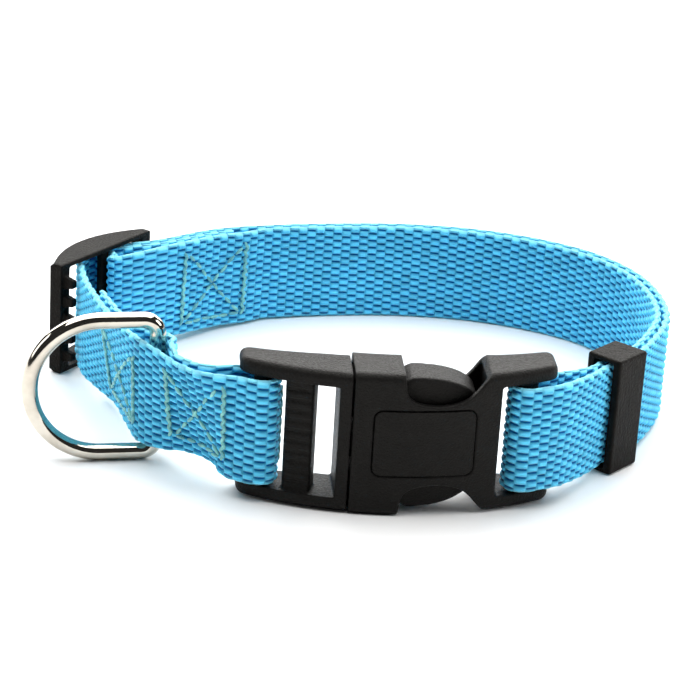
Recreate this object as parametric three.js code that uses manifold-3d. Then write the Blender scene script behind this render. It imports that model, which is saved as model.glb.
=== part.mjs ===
// Dog collar of flat woven webbing with a side release buckle
// Millimetres, +Z up, the collar lying on its lower edges with the buckle at the front, towards -Y
import * as THREE from "three";
import { mergeVertices } from "three/addons/utils/BufferGeometryUtils.js";
import Module from "manifold-3d";

const wasm = await Module();
wasm.setup();

// Webbing
const WEBBING_WIDTH = 20;
const WEBBING_THICKNESS = 1.4;
const PLY_GAP = 0.35; // between two layers that lie together
const WRAP_CLEARANCE = 0.5; // between a layer and the bar that it wraps
const SLOT_CLEARANCE = 0.5; // between the webbing's edges and the ends of a slot
const TAIL_LENGTH = 34; // sewn end, from the slider's centre bar
const FOLD_END_GAP = 10; // from the slider's front bar to the end of the fold behind the lead ring
const WEBBING_STEP = 3.4; // length of one facet along the webbing

// Loop, measured on the middle of the outer layer of webbing
const LOOP_WIDTH = 118;
const LOOP_DEPTH = 98;

// Buckle, bent to an arc about a vertical axis
const BUCKLE_DEPTH = 11;
const BUCKLE_END_DEPTH = 9.3;
const BUCKLE_BEND_RADIUS = 52;
const BUCKLE_RAIL = 2.6; // above and below the strap slots
const BUCKLE_SWELL = 0.3; // of the socket half beyond the rails, above and below
const BUCKLE_CORNER = 1.5;
const BUCKLE_SEAM = 0.3;
const BUCKLE_YAW = 5.3; // degrees
const PLUG_FRAME_LENGTH = 18.6;
const PLUG_BAR_INSET = 2; // from the end of the rails to the bar
const PLUG_BAR_WIDTH = 2.4;
const FRICTION_BAR_WIDTH = 4.8;
const FRICTION_BAR_RECESS = 1;
const FRICTION_BAR_DEPTH = 4;
const FRICTION_BAR_CORNER = 0.5;
const PLUG_SLOT_WIDTH = 4.3; // between the friction bar and the plug's wall
const PLUG_WALL = 2;
const SOCKET_LENGTH = 34.1;
const SOCKET_WALL = 1.4;
const SOCKET_COLLAR_LENGTH = 7.9; // closed ring of the socket, from the seam to the windows
const SOCKET_WINDOW_LENGTH = 14.3;
const SOCKET_WINDOW_DEPTH = 5.8;
const SOCKET_BAR_INSET = 3;
const SOCKET_BAR_WIDTH = 3.4;
const SOCKET_SLOT_WIDTH = 3.8; // between the socket's end wall and its bar
const SOCKET_END_WALL = 2.6;
const SLOT_MOUTH = 0.55; // wider above and below behind a strap bar, where the inner layer slopes away
const BAR_DEPTH = 3;
const BAR_RECESS = 0.4; // of both strap bars behind the buckle's front face
const PRONG_CLEARANCE = 0.35;
const PRONG_THICKNESS = 5.6;
const PRONG_SHOULDER = 0.8; // of a prong's shoulder above its arm
const PRONG_TIP_GAP = 2.2; // from the prong's tip to the far side of its window
const GUIDE_WIDTH = 3;

// Slider
const SLIDER_LENGTH = 28;
const SLIDER_ARCH = 4.6; // rise of the rails' outer edge
const SLIDER_RAIL = 0.95;
const SLIDER_CLEARANCE = 1.05; // between its rear bar and the layer under it
const SLIDER_END_BAR_WIDTH = 2.8;
const SLIDER_END_BAR_DEPTH = 2;
const SLIDER_CENTRE_BAR_WIDTH = 2.4;
const SLIDER_CENTRE_BAR_DEPTH = 1.6;
const SLIDER_CENTRE_BAR_SET_BACK = 1; // inwards from the line of the end bars' outer faces
const SLIDER_ANGLE = 57.8; // degrees
const TOOTH_LENGTH = 2.3;
const TOOTH_WIDTH = 3;
const TOOTH_PITCH = 3.8;
const TOOTH_GAP = 1.65; // from the teeth to the webbing

// Keeper
const KEEPER_LENGTH = 8.6;
const KEEPER_FACE = 1.6; // thickness of its front and back walls
const KEEPER_EDGE = 0.9; // thickness of its top and bottom walls
const KEEPER_SLACK = 0.5; // between its walls and the two layers inside
const KEEPER_CORNER = 0.8;
const KEEPER_ANGLE = 50.2; // degrees

// Lead ring
const RING_WIRE = 3;
const RING_SLACK = 2.6; // of its opening beyond the webbing's width
const RING_REACH = 25.8; // from the outside of its bar to the outside of its bow
const RING_CORNER = 2.6; // bend between its bar and its arms, on the wire's middle
const RING_SEAT = 0.6; // from its lower arm to the webbing above it
const RING_SWING = 192; // degrees, the way that the bow points from the bar
const RING_CLEARANCE = 0.72; // between its bar and the two layers that hold it
const RING_SIDES = 12;

// Sizes that follow
const LAYER = WEBBING_THICKNESS + PLY_GAP;
const SLOT_HEIGHT = WEBBING_WIDTH + 2 * SLOT_CLEARANCE;
const RAILS_HEIGHT = SLOT_HEIGHT + 2 * BUCKLE_RAIL;
const BUCKLE_HEIGHT = RAILS_HEIGHT + 2 * BUCKLE_SWELL;
const BUCKLE_FRONT = BUCKLE_DEPTH / 2;
const BUCKLE_LENGTH = PLUG_FRAME_LENGTH + BUCKLE_SEAM + SOCKET_LENGTH;
const PLUG_START = -BUCKLE_LENGTH / 2;
const PLUG_END = PLUG_START + PLUG_FRAME_LENGTH;
const SOCKET_START = PLUG_END + BUCKLE_SEAM;
const SOCKET_END = SOCKET_START + SOCKET_LENGTH;
const KEEPER_HEIGHT = SLOT_HEIGHT + 2 * KEEPER_EDGE;
const KEEPER_GAP = 2 * WEBBING_THICKNESS + PLY_GAP + 2 * KEEPER_SLACK;
const SLIDER_HEIGHT = SLOT_HEIGHT + 2 * SLIDER_RAIL;
const RING_HEIGHT = WEBBING_WIDTH + RING_SLACK + 2 * RING_WIRE;

// Height of the webbing's middle where each piece of hardware holds it
const RISE = {
  buckle: BUCKLE_HEIGHT / 2,
  keeper: KEEPER_HEIGHT / 2,
  slider: SLIDER_HEIGHT / 2,
  ring: RING_WIRE + RING_SEAT + WEBBING_WIDTH / 2,
  floor: WEBBING_WIDTH / 2,
};

// Plan places as shares of half the loop's width and depth
const PLACES = {
  buckle: { across: 0.131, along: -0.914 },
  keeper: { across: 0.805, along: -0.451 },
  slider: { across: -0.886, along: 0.35 },
  ring: { across: -0.61, along: -0.645 },
};

// Back and right side of the loop, as shares of its half sizes, with the drop from the hardware to the floor
const ARC_ROWS = [
  { across: 0.933, along: -0.214, drop: 0.35 },
  { across: 0.998, along: 0.041, drop: 0.6 },
  { across: 1.0, along: 0.296, drop: 0.8 },
  { across: 0.939, along: 0.572, drop: 0.95 },
  { across: 0.81, along: 0.784, drop: 1 },
  { across: 0.627, along: 0.92, drop: 1 },
  { across: 0.398, along: 1.0, drop: 1 },
  { across: 0.153, along: 1.012, drop: 1 },
  { across: -0.085, along: 0.968, drop: 1 },
  { across: -0.305, along: 0.888, drop: 0.85 },
  { across: -0.508, along: 0.772, drop: 0.6 },
];

// Between two holders, as shares of the line that joins them, with the lean of the upper edge outwards
const SOCKET_ROWS = [
  { along: 0.35, bulge: 0.035, lean: 0 },
  { along: 0.7, bulge: 0.03, lean: 0 },
];
const SLIDER_ROWS = [
  { along: 0.25, bulge: 0.005, lean: 4 },
  { along: 0.5, bulge: 0, lean: 8 },
  { along: 0.76, bulge: 0.01, lean: 5 },
];
const PLUG_ROWS = [
  { along: 0.2, bulge: 0.02, lean: 5 },
  { along: 0.42, bulge: 0, lean: 15 },
  { along: 0.64, bulge: 0, lean: 17 },
  { along: 0.85, bulge: 0.03, lean: 7 },
];

// Outline of the plug half along its length, as shares of its length, height and depth
const PLUG_SECTIONS = [
  { at: 0, height: 0.93, depth: 0.84 },
  { at: 0.03, height: 0.98, depth: 0.93 },
  { at: 0.1, height: 1, depth: 0.99 },
  { at: 0.2, height: 1, depth: 1 },
  { at: 0.4, height: 1, depth: 1.02 },
  { at: 0.6, height: 1, depth: 1.05 },
  { at: 0.8, height: 1, depth: 1.08 },
  { at: 1, height: 1, depth: 1.1 },
];

// Outline of the socket half: swell is the share of its full height and depth beyond the rails
const SOCKET_SECTIONS = [
  { at: 0, swell: 1, round: 1 },
  { at: 0.12, swell: 1, round: 1 },
  { at: 0.25, swell: 1, round: 1 },
  { at: 0.37, swell: 1, round: 1 },
  { at: 0.5, swell: 1, round: 1 },
  { at: 0.62, swell: 0.9, round: 1 },
  { at: 0.7, swell: 0.45, round: 1 },
  { at: 0.8, swell: 0.15, round: 1 },
  { at: 0.91, swell: 0, round: 1 },
  { at: 0.97, swell: 0, round: 0.985 },
  { at: 1, swell: 0, round: 0.94 },
];

// Window of the socket, as shares of its length and depth from the outer edge
const WINDOW_OUTLINE = [
  { along: 0, deep: 0 },
  { along: 0.03, deep: 0.6 },
  { along: 0.11, deep: 0.86 },
  { along: 0.28, deep: 1 },
  { along: 0.5, deep: 1 },
  { along: 0.68, deep: 0.87 },
  { along: 0.8, deep: 0.62 },
  { along: 0.9, deep: 0.3 },
  { along: 1, deep: 0 },
];

// Shoulder of a prong, as shares of its length and of its fall to the tip
const SHOULDER_OUTLINE = [
  { along: 0, fall: 0 },
  { along: 0.3, fall: 0.04 },
  { along: 0.55, fall: 0.15 },
  { along: 0.75, fall: 0.33 },
  { along: 0.92, fall: 0.6 },
  { along: 1, fall: 0.85 },
];

// Ribbon fold and turn resolution
const TURN_STEPS = 8;
const CURVE_SAMPLES = 900;
const CORNER_STEPS = 3;
const PROBE = 0.01; // small step for a direction along a curve

const radians = THREE.MathUtils.degToRad;
const plan = (x, y) => new THREE.Vector2(x, y);

// Solids and meshes
function toSolid(geometry) {
  const bare = new THREE.BufferGeometry();
  bare.setAttribute("position", geometry.getAttribute("position"));
  if (geometry.index) bare.setIndex(geometry.index);
  const merged = mergeVertices(bare, 1e-4);
  const made = new wasm.Manifold(
    new wasm.Mesh({
      numProp: 3,
      vertProperties: new Float32Array(merged.attributes.position.array),
      triVerts: new Uint32Array(merged.index.array),
    }),
  );
  return made;
}

function toGeometry(solid) {
  const mesh = solid.getMesh();
  const geometry = new THREE.BufferGeometry();
  geometry.setAttribute("position", new THREE.BufferAttribute(new Float32Array(mesh.vertProperties), 3));
  geometry.setIndex(new THREE.BufferAttribute(new Uint32Array(mesh.triVerts), 1));
  geometry.computeVertexNormals();
  return geometry;
}

// Skin over rings of points that all have the same count, capped at both ends or joined end to end
function loft(rings, closed = false) {
  const count = rings[0].length;
  const positions = rings.flat().flatMap((point) => [point.x, point.y, point.z]);
  const triangles = [];
  const spans = closed ? rings.length : rings.length - 1;
  for (let i = 0; i < spans; i += 1) {
    const near = i * count;
    const far = ((i + 1) % rings.length) * count;
    for (let j = 0; j < count; j += 1) {
      const next = (j + 1) % count;
      triangles.push(near + j, near + next, far + next);
      triangles.push(near + j, far + next, far + j);
    }
  }
  if (!closed) {
    const last = (rings.length - 1) * count;
    for (let j = 1; j < count - 1; j += 1) {
      triangles.push(0, j + 1, j);
      triangles.push(last, last + j, last + j + 1);
    }
  }
  const geometry = new THREE.BufferGeometry();
  geometry.setAttribute("position", new THREE.Float32BufferAttribute(positions, 3));
  geometry.setIndex(triangles);
  return facingOut(geometry);
}

// Turns every face round when the skin encloses a negative volume
function facingOut(geometry) {
  const points = geometry.getAttribute("position");
  const index = geometry.index;
  const corner = (i) => new THREE.Vector3().fromBufferAttribute(points, index.getX(i));
  let volume = 0;
  for (let i = 0; i < index.count; i += 3) {
    volume += corner(i).dot(corner(i + 1).cross(corner(i + 2)));
  }
  if (volume < 0) {
    for (let i = 0; i < index.count; i += 3) {
      const kept = index.getX(i + 1);
      index.setX(i + 1, index.getX(i + 2));
      index.setX(i + 2, kept);
    }
  }
  return geometry;
}

// Closed prism over a flat outline, whose corners a function places from their two values and the level
function prism(corners, low, high, place) {
  const outline = THREE.ShapeUtils.isClockWise(corners) ? corners.slice().reverse() : corners;
  const triangles = [];
  const count = outline.length;
  const faces = THREE.ShapeUtils.triangulateShape(outline, []);
  for (const [a, b, c] of faces) {
    triangles.push(a, c, b);
    triangles.push(a + count, b + count, c + count);
  }
  for (let j = 0; j < count; j += 1) {
    const next = (j + 1) % count;
    triangles.push(j, next, next + count);
    triangles.push(j, next + count, j + count);
  }
  const spots = [low, high].flatMap((level) => outline.map((point) => place(point.x, point.y, level)));
  const geometry = new THREE.BufferGeometry();
  const positions = spots.flatMap((point) => [point.x, point.y, point.z]);
  geometry.setAttribute("position", new THREE.Float32BufferAttribute(positions, 3));
  geometry.setIndex(triangles);
  return facingOut(geometry);
}

// Rectangle with rounded corners, as a list of points
function roundedRectangle(lowX, highX, lowY, highY, corner) {
  const radius = Math.min(corner, 0.45 * (highX - lowX), 0.45 * (highY - lowY));
  const centres = [
    [highX - radius, highY - radius, 0],
    [lowX + radius, highY - radius, 90],
    [lowX + radius, lowY + radius, 180],
    [highX - radius, lowY + radius, 270],
  ];
  return centres.flatMap(([x, y, start]) =>
    Array.from({ length: CORNER_STEPS + 1 }, (_, i) => {
      const angle = radians(start + (90 * i) / CORNER_STEPS);
      return plan(x + radius * Math.cos(angle), y + radius * Math.sin(angle));
    }),
  );
}

// Hardware frames: place in plan, direction along the strap and direction outwards
function holder(place, angle) {
  const along = plan(Math.cos(radians(angle)), Math.sin(radians(angle)));
  return {
    centre: plan((place.across * LOOP_WIDTH) / 2, (place.along * LOOP_DEPTH) / 2),
    along,
    angle: radians(angle),
  };
}

const buckle = holder(PLACES.buckle, BUCKLE_YAW);
const keeper = holder(PLACES.keeper, KEEPER_ANGLE);
const slider = holder(PLACES.slider, SLIDER_ANGLE);
const ringSeat = holder(PLACES.ring, RING_SWING);

// Point of a holder's own frame in the loop's plan
function inPlan(frame, x, y) {
  return plan(
    frame.centre.x + x * frame.along.x - y * frame.along.y,
    frame.centre.y + x * frame.along.y + y * frame.along.x,
  );
}

// Buckle's frame: u along the bend, w outwards from its middle line
function bent(u, w) {
  const turn = u / BUCKLE_BEND_RADIUS;
  const radius = BUCKLE_BEND_RADIUS + w;
  return plan(radius * Math.sin(turn), BUCKLE_BEND_RADIUS - radius * Math.cos(turn));
}

// Bars that the strap wraps, in the buckle's frame
const BAR_MIDDLE = BUCKLE_FRONT - BAR_RECESS - BAR_DEPTH / 2;
const PLUG_BAR = PLUG_START + PLUG_BAR_INSET + PLUG_BAR_WIDTH / 2;
const SOCKET_BAR = SOCKET_END - SOCKET_BAR_INSET - SOCKET_BAR_WIDTH / 2;

function wrapAt(u, width, inset) {
  const middle = bent(u, BAR_MIDDLE);
  const outside = bent(u, BAR_MIDDLE + 1);
  const centre = inPlan(buckle, middle.x, middle.y);
  const out = inPlan(buckle, outside.x, outside.y).sub(centre).normalize();
  return {
    centre,
    out,
    radius: BAR_DEPTH / 2 + WRAP_CLEARANCE + WEBBING_THICKNESS / 2,
    reach: Math.max(0, (width - BAR_DEPTH) / 2),
    lead: inset + width / 2 + WRAP_CLEARANCE,
  };
}

const socketWrap = wrapAt(SOCKET_BAR, SOCKET_BAR_WIDTH, SOCKET_BAR_INSET);
const plugWrap = wrapAt(PLUG_BAR, PLUG_BAR_WIDTH, PLUG_BAR_INSET);

const sliderWrapCentre = inPlan(slider, 0, -SLIDER_CENTRE_BAR_SET_BACK);
const sliderWrap = {
  centre: sliderWrapCentre,
  out: plan(-slider.along.y, slider.along.x),
  radius: SLIDER_CENTRE_BAR_DEPTH / 2 + WRAP_CLEARANCE + WEBBING_THICKNESS / 2,
  reach: (SLIDER_CENTRE_BAR_WIDTH - SLIDER_CENTRE_BAR_DEPTH) / 2,
};

// Route of the outer layer, from the socket's bar round the back to the plug's bar
function stop(point, rise, lean = 0) {
  return { point, rise, lean };
}

// Stops between two others, set out along their joining line and bulging outwards
function between(start, end, rows) {
  const line = end.point.clone().sub(start.point);
  const out = plan(line.y, -line.x);
  return rows.map((row) =>
    stop(
      start.point.clone().addScaledVector(line, row.along).addScaledVector(out, row.bulge),
      THREE.MathUtils.lerp(start.rise, end.rise, row.along),
      row.lean,
    ),
  );
}

function besideWrap(wrap, side, rise) {
  const along = plan(-wrap.out.y, wrap.out.x);
  const beside = wrap.centre.clone().addScaledVector(wrap.out, wrap.radius).addScaledVector(along, side);
  return stop(beside, rise);
}

const socketStops = [0, socketWrap.lead].map((side) => besideWrap(socketWrap, side, RISE.buckle));
const plugStops = [-plugWrap.lead, 0].map((side) => besideWrap(plugWrap, side, RISE.buckle));

// The keeper's frame has its outer side towards -y
const keeperStops = [-0.5, 0, 0.5].map((share) =>
  stop(inPlan(keeper, share * KEEPER_LENGTH, -LAYER / 2), RISE.keeper),
);

// The slider's frame has its outer side towards +y and its front end towards -x
const underEndBar = SLIDER_END_BAR_DEPTH + SLIDER_CLEARANCE + WEBBING_THICKNESS / 2;
const overCentreBar = sliderWrap.radius + LAYER - SLIDER_CENTRE_BAR_SET_BACK;
const underTeeth = SLIDER_END_BAR_DEPTH + TOOTH_LENGTH + TOOTH_GAP + WEBBING_THICKNESS / 2;
const endBarMiddle = (SLIDER_LENGTH - SLIDER_END_BAR_WIDTH) / 2;
const centreLead = SLIDER_CENTRE_BAR_WIDTH / 2 + WRAP_CLEARANCE;
const sliderStops = [
  stop(inPlan(slider, endBarMiddle, -underEndBar), RISE.slider),
  stop(inPlan(slider, centreLead, overCentreBar), RISE.slider),
  stop(inPlan(slider, -centreLead, overCentreBar), RISE.slider),
  stop(inPlan(slider, -endBarMiddle, -underTeeth), RISE.slider),
];
const teethStop = sliderStops[3];

const ringOut = (() => {
  const line = plugStops[0].point.clone().sub(teethStop.point);
  return plan(line.y, -line.x).normalize();
})();
const ringOffset = RING_WIRE / 2 + RING_CLEARANCE + WEBBING_THICKNESS / 2;
const ringStop = stop(ringSeat.centre.clone().addScaledVector(ringOut, ringOffset), RISE.ring);

const arcStops = ARC_ROWS.map((row, i) => {
  const held = THREE.MathUtils.lerp(RISE.keeper, RISE.slider, i / (ARC_ROWS.length - 1));
  return stop(
    plan((row.across * LOOP_WIDTH) / 2, (row.along * LOOP_DEPTH) / 2),
    THREE.MathUtils.lerp(held, RISE.floor, row.drop),
  );
});

const routeStops = [
  ...socketStops,
  ...between(socketStops[1], keeperStops[0], SOCKET_ROWS),
  ...keeperStops,
  ...arcStops,
  ...sliderStops,
  ...between(teethStop, ringStop, SLIDER_ROWS),
  ringStop,
  ...between(ringStop, plugStops[0], PLUG_ROWS),
  ...plugStops,
];

const route = new THREE.CatmullRomCurve3(
  routeStops.map(({ point, rise }) => new THREE.Vector3(point.x, point.y, rise)),
  false,
  "centripetal",
);
const leans = new THREE.CatmullRomCurve3(
  routeStops.map(({ lean }, i) => new THREE.Vector3(i, lean, 0)),
  false,
  "centripetal",
);
route.arcLengthDivisions = CURVE_SAMPLES;
const ROUTE_LENGTH = route.getLength();

// Frame of the route at a distance along it
function frameAt(distance) {
  const share = THREE.MathUtils.clamp(distance / ROUTE_LENGTH, 0, 1);
  const t = route.getUtoTmapping(share);
  const origin = route.getPoint(t);
  const tangent = route.getTangent(t).setZ(0).normalize();
  const lean = radians(leans.getPoint(t).y);
  const level = new THREE.Vector3(tangent.y, -tangent.x, 0);
  const upright = new THREE.Vector3(0, 0, 1);
  return {
    origin,
    tangent,
    level,
    out: level.clone().multiplyScalar(Math.cos(lean)).addScaledVector(upright, -Math.sin(lean)),
    up: upright.clone().multiplyScalar(Math.cos(lean)).addScaledVector(level, Math.sin(lean)),
  };
}

// Distance along the route of the place nearest to a point in plan
function distanceNear(point) {
  let best = { gap: Infinity, at: 0 };
  for (let i = 0; i <= CURVE_SAMPLES; i += 1) {
    const at = (i / CURVE_SAMPLES) * ROUTE_LENGTH;
    const { origin } = frameAt(at);
    const gap = Math.hypot(origin.x - point.x, origin.y - point.y);
    if (gap < best.gap) best = { gap, at };
  }
  return best.at;
}

const AT = {
  keeper: distanceNear(keeperStops[1].point),
  rear: distanceNear(sliderStops[0].point),
  slider: distanceNear(inPlan(slider, 0, overCentreBar)),
  teeth: distanceNear(teethStop.point),
  ring: distanceNear(ringStop.point),
};
AT.tail = AT.slider - TAIL_LENGTH;
AT.foldEnd = AT.teeth + FOLD_END_GAP;

// Smooth value between knots of distance and value
function knotted(knots, distance) {
  if (distance <= knots[0].at) return knots[0].value;
  for (let i = 1; i < knots.length; i += 1) {
    const [from, to] = [knots[i - 1], knots[i]];
    if (distance <= to.at) {
      return THREE.MathUtils.lerp(from.value, to.value, THREE.MathUtils.smoothstep(distance, from.at, to.at));
    }
  }
  return knots[knots.length - 1].value;
}

// How far inwards of the outer layer each inner stretch lies
const KNOT_RUN = 9;
const innerKnots = [
  { at: socketWrap.lead, value: 2 * socketWrap.radius },
  { at: AT.keeper - KEEPER_LENGTH / 2 - 1, value: LAYER },
  { at: AT.tail - KNOT_RUN, value: LAYER },
  { at: AT.tail - WEBBING_THICKNESS, value: 2 * LAYER },
  { at: AT.rear + SLIDER_END_BAR_WIDTH / 2, value: 2 * LAYER },
  { at: AT.slider - SLIDER_CENTRE_BAR_WIDTH / 2, value: LAYER + 2 * sliderWrap.radius },
];
const foldKnots = [
  { at: AT.ring - KNOT_RUN, value: LAYER },
  { at: AT.ring - RING_WIRE / 2, value: 2 * ringOffset },
  { at: AT.ring + RING_WIRE / 2, value: 2 * ringOffset },
  { at: AT.ring + KNOT_RUN, value: LAYER },
  { at: ROUTE_LENGTH - plugWrap.lead - KNOT_RUN, value: LAYER },
  { at: ROUTE_LENGTH - plugWrap.lead, value: 2 * plugWrap.radius },
];

// Places along the route where the webbing has a section, shared by every layer
const sections = [];
for (let i = 0; i <= Math.round(ROUTE_LENGTH / WEBBING_STEP); i += 1) {
  sections.push((i * ROUTE_LENGTH) / Math.round(ROUTE_LENGTH / WEBBING_STEP));
}

function run(from, to, offset) {
  const low = Math.min(from, to);
  const high = Math.max(from, to);
  const inside = sections.filter((at) => at > low + 1 && at < high - 1);
  const places = [low, ...inside, high];
  if (from > to) places.reverse();
  return places.map((at) => {
    const { origin, level } = frameAt(at);
    return { at, point: plan(origin.x - level.x * offset(at), origin.y - level.y * offset(at)) };
  });
}

// Half turn round a bar, towards one side of it, from its outside inwards or back
function turn(wrap, at, side, inwards) {
  const along = plan(-wrap.out.y, wrap.out.x).multiplyScalar(side);
  const centre = wrap.centre.clone().addScaledVector(along, wrap.reach);
  const points = Array.from({ length: TURN_STEPS + 1 }, (_, i) => {
    const angle = (Math.PI * i) / TURN_STEPS;
    return centre
      .clone()
      .addScaledVector(wrap.out, wrap.radius * Math.cos(angle))
      .addScaledVector(along, wrap.radius * Math.sin(angle));
  });
  if (!inwards) points.reverse();
  return points.map((point) => ({ at, point }));
}

const ribbon = [
  ...run(AT.tail, AT.slider, () => LAYER),
  ...turn(sliderWrap, AT.slider, -1, true),
  ...run(AT.slider, 0, (at) => knotted(innerKnots, at)),
  ...turn(socketWrap, 0, -1, false),
  ...run(0, ROUTE_LENGTH, () => 0),
  ...turn(plugWrap, ROUTE_LENGTH, 1, true),
  ...run(ROUTE_LENGTH, AT.foldEnd, (at) => knotted(foldKnots, at)),
].filter(({ point }, i, all) => i === 0 || point.distanceTo(all[i - 1].point) > PROBE);

// Four corners of the webbing's section at one place of the ribbon
function webbingSection({ at, point }, i) {
  const before = ribbon[Math.max(0, i - 1)].point;
  const after = ribbon[Math.min(ribbon.length - 1, i + 1)].point;
  const direction = after.clone().sub(before).normalize();
  const side = plan(direction.y, -direction.x);
  const frame = frameAt(at);
  const corner = (thick, high) => {
    const spot = point.clone().addScaledVector(side, thick);
    const offset = new THREE.Vector3(spot.x - frame.origin.x, spot.y - frame.origin.y, 0);
    return frame.origin
      .clone()
      .addScaledVector(frame.tangent, offset.dot(frame.tangent))
      .addScaledVector(frame.out, offset.dot(frame.level))
      .addScaledVector(frame.up, high);
  };
  const half = WEBBING_THICKNESS / 2;
  const edge = WEBBING_WIDTH / 2;
  return [corner(-half, -edge), corner(half, -edge), corner(half, edge), corner(-half, edge)];
}

const strapGeometry = () => loft(ribbon.map(webbingSection));

// Buckle: its shell is moulded straight inwards behind the bent front face, its bars are square to the bend
function inBuckle(u, w, v) {
  const front = bent(u, BUCKLE_FRONT);
  return new THREE.Vector3(front.x, front.y + BUCKLE_FRONT - w, v);
}

function squareToBend(u, w, v) {
  const point = bent(u, w);
  return new THREE.Vector3(point.x, point.y, v);
}

// Block of the bent buckle between two distances, two depths and two heights
function bentBlock(lowU, highU, lowW, highW, lowV, highV) {
  const steps = Math.max(1, Math.ceil((highU - lowU) / WEBBING_STEP));
  const rings = Array.from({ length: steps + 1 }, (_, i) => {
    const u = THREE.MathUtils.lerp(lowU, highU, i / steps);
    const low = [inBuckle(u, lowW, lowV), inBuckle(u, highW, lowV)];
    const high = [inBuckle(u, highW, highV), inBuckle(u, lowW, highV)];
    return [...low, ...high];
  });
  return toSolid(loft(rings));
}

// Rounded section of the buckle, its front on the common front face
function buckleSection(u, height, depth) {
  const back = BUCKLE_FRONT - depth;
  const outline = roundedRectangle(back, BUCKLE_FRONT, -height / 2, height / 2, BUCKLE_CORNER);
  return outline.map((point) => inBuckle(u, point.x, point.y));
}

// Upright bar with rounded edges that joins both rails
function upright(middle, width, recess, depth, corner) {
  const high = BUCKLE_FRONT - recess;
  const outline = roundedRectangle(middle - width / 2, middle + width / 2, high - depth, high, corner);
  const reach = SLOT_HEIGHT / 2 + BUCKLE_RAIL / 2;
  return toSolid(prism(outline, -reach, reach, squareToBend));
}

function strapBar(middle, width) {
  return upright(middle, width, BAR_RECESS, BAR_DEPTH, BAR_DEPTH / 2);
}

function slot(lowU, highU) {
  return bentBlock(lowU, highU, -BUCKLE_DEPTH, BUCKLE_DEPTH, -SLOT_HEIGHT / 2, SLOT_HEIGHT / 2);
}

function slotMouth(lowU, highU) {
  const reach = SLOT_HEIGHT / 2 + SLOT_MOUTH;
  return bentBlock(lowU, highU, -BUCKLE_DEPTH, BAR_MIDDLE, -reach, reach);
}

const CAVITY_BACK = BUCKLE_FRONT - BUCKLE_DEPTH + SOCKET_WALL;
const CAVITY_FRONT = BUCKLE_FRONT - SOCKET_WALL;
const CAVITY_HALF_HEIGHT = BUCKLE_HEIGHT / 2 - SOCKET_WALL;
const WINDOW_START = SOCKET_START + SOCKET_COLLAR_LENGTH;
const WINDOW_END = WINDOW_START + SOCKET_WINDOW_LENGTH;
const SOCKET_SLOT_START = SOCKET_END - SOCKET_BAR_INSET - SOCKET_BAR_WIDTH - SOCKET_SLOT_WIDTH;
const CAVITY_END = SOCKET_SLOT_START - SOCKET_END_WALL;

// Bent bar through sections that each have a distance and two heights
function bentBar(rows, lowW, highW) {
  const rings = rows.map(({ u, low, high }) => [
    inBuckle(u, lowW, low),
    inBuckle(u, highW, low),
    inBuckle(u, highW, high),
    inBuckle(u, lowW, high),
  ]);
  return toSolid(loft(rings));
}

// Sections of the upper prong, from inside the plug's wall to its tip
function prongRows() {
  const arm = CAVITY_HALF_HEIGHT - PRONG_CLEARANCE;
  const shoulder = arm + PRONG_SHOULDER;
  const root = PLUG_END - PLUG_WALL / 2;
  const start = WINDOW_START + 2 * PRONG_CLEARANCE;
  const length = SOCKET_WINDOW_LENGTH - 2 * PRONG_CLEARANCE - PRONG_TIP_GAP;
  const fall = SOCKET_WINDOW_DEPTH - PRONG_SHOULDER;
  const steps = Math.ceil((start - root) / WEBBING_STEP);
  const armRows = Array.from({ length: steps + 1 }, (_, i) => ({
    u: THREE.MathUtils.lerp(root, start - PROBE, i / steps),
    low: arm - PRONG_THICKNESS,
    high: arm,
  }));
  const shoulderRows = SHOULDER_OUTLINE.map((row) => ({
    u: start + row.along * length,
    low: arm - PRONG_THICKNESS * (1 - 0.3 * row.along ** 4),
    high: shoulder - row.fall * fall,
  }));
  return [...armRows, ...shoulderRows];
}

function plugGeometry() {
  const rings = PLUG_SECTIONS.map((row) => {
    const u = PLUG_START + row.at * PLUG_FRAME_LENGTH;
    return buckleSection(u, row.height * RAILS_HEIGHT, row.depth * BUCKLE_END_DEPTH);
  });
  const friction = PLUG_END - PLUG_WALL - PLUG_SLOT_WIDTH - FRICTION_BAR_WIDTH / 2;
  const prongBack = CAVITY_BACK + PRONG_CLEARANCE;
  const prongFront = CAVITY_FRONT - PRONG_CLEARANCE;
  const upper = prongRows();
  const lower = upper.map(({ u, low, high }) => ({ u, low: -high, high: -low }));
  const guideStart = PLUG_END - PLUG_WALL / 2;
  const guideEnd = WINDOW_END - PRONG_TIP_GAP;
  const guideReach = GUIDE_WIDTH / 2;
  return toGeometry(
    toSolid(loft(rings))
      .subtract(slot(PLUG_START - PLUG_WALL, PLUG_END - PLUG_WALL))
      .subtract(slotMouth(PLUG_START - PLUG_WALL, PLUG_BAR))
      .add(strapBar(PLUG_BAR, PLUG_BAR_WIDTH))
      .add(upright(friction, FRICTION_BAR_WIDTH, FRICTION_BAR_RECESS, FRICTION_BAR_DEPTH, FRICTION_BAR_CORNER))
      .add(bentBar(upper, prongBack, prongFront))
      .add(bentBar(lower, prongBack, prongFront))
      .add(bentBlock(guideStart, guideEnd, prongBack, prongFront, -guideReach, guideReach)),
  );
}

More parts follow.
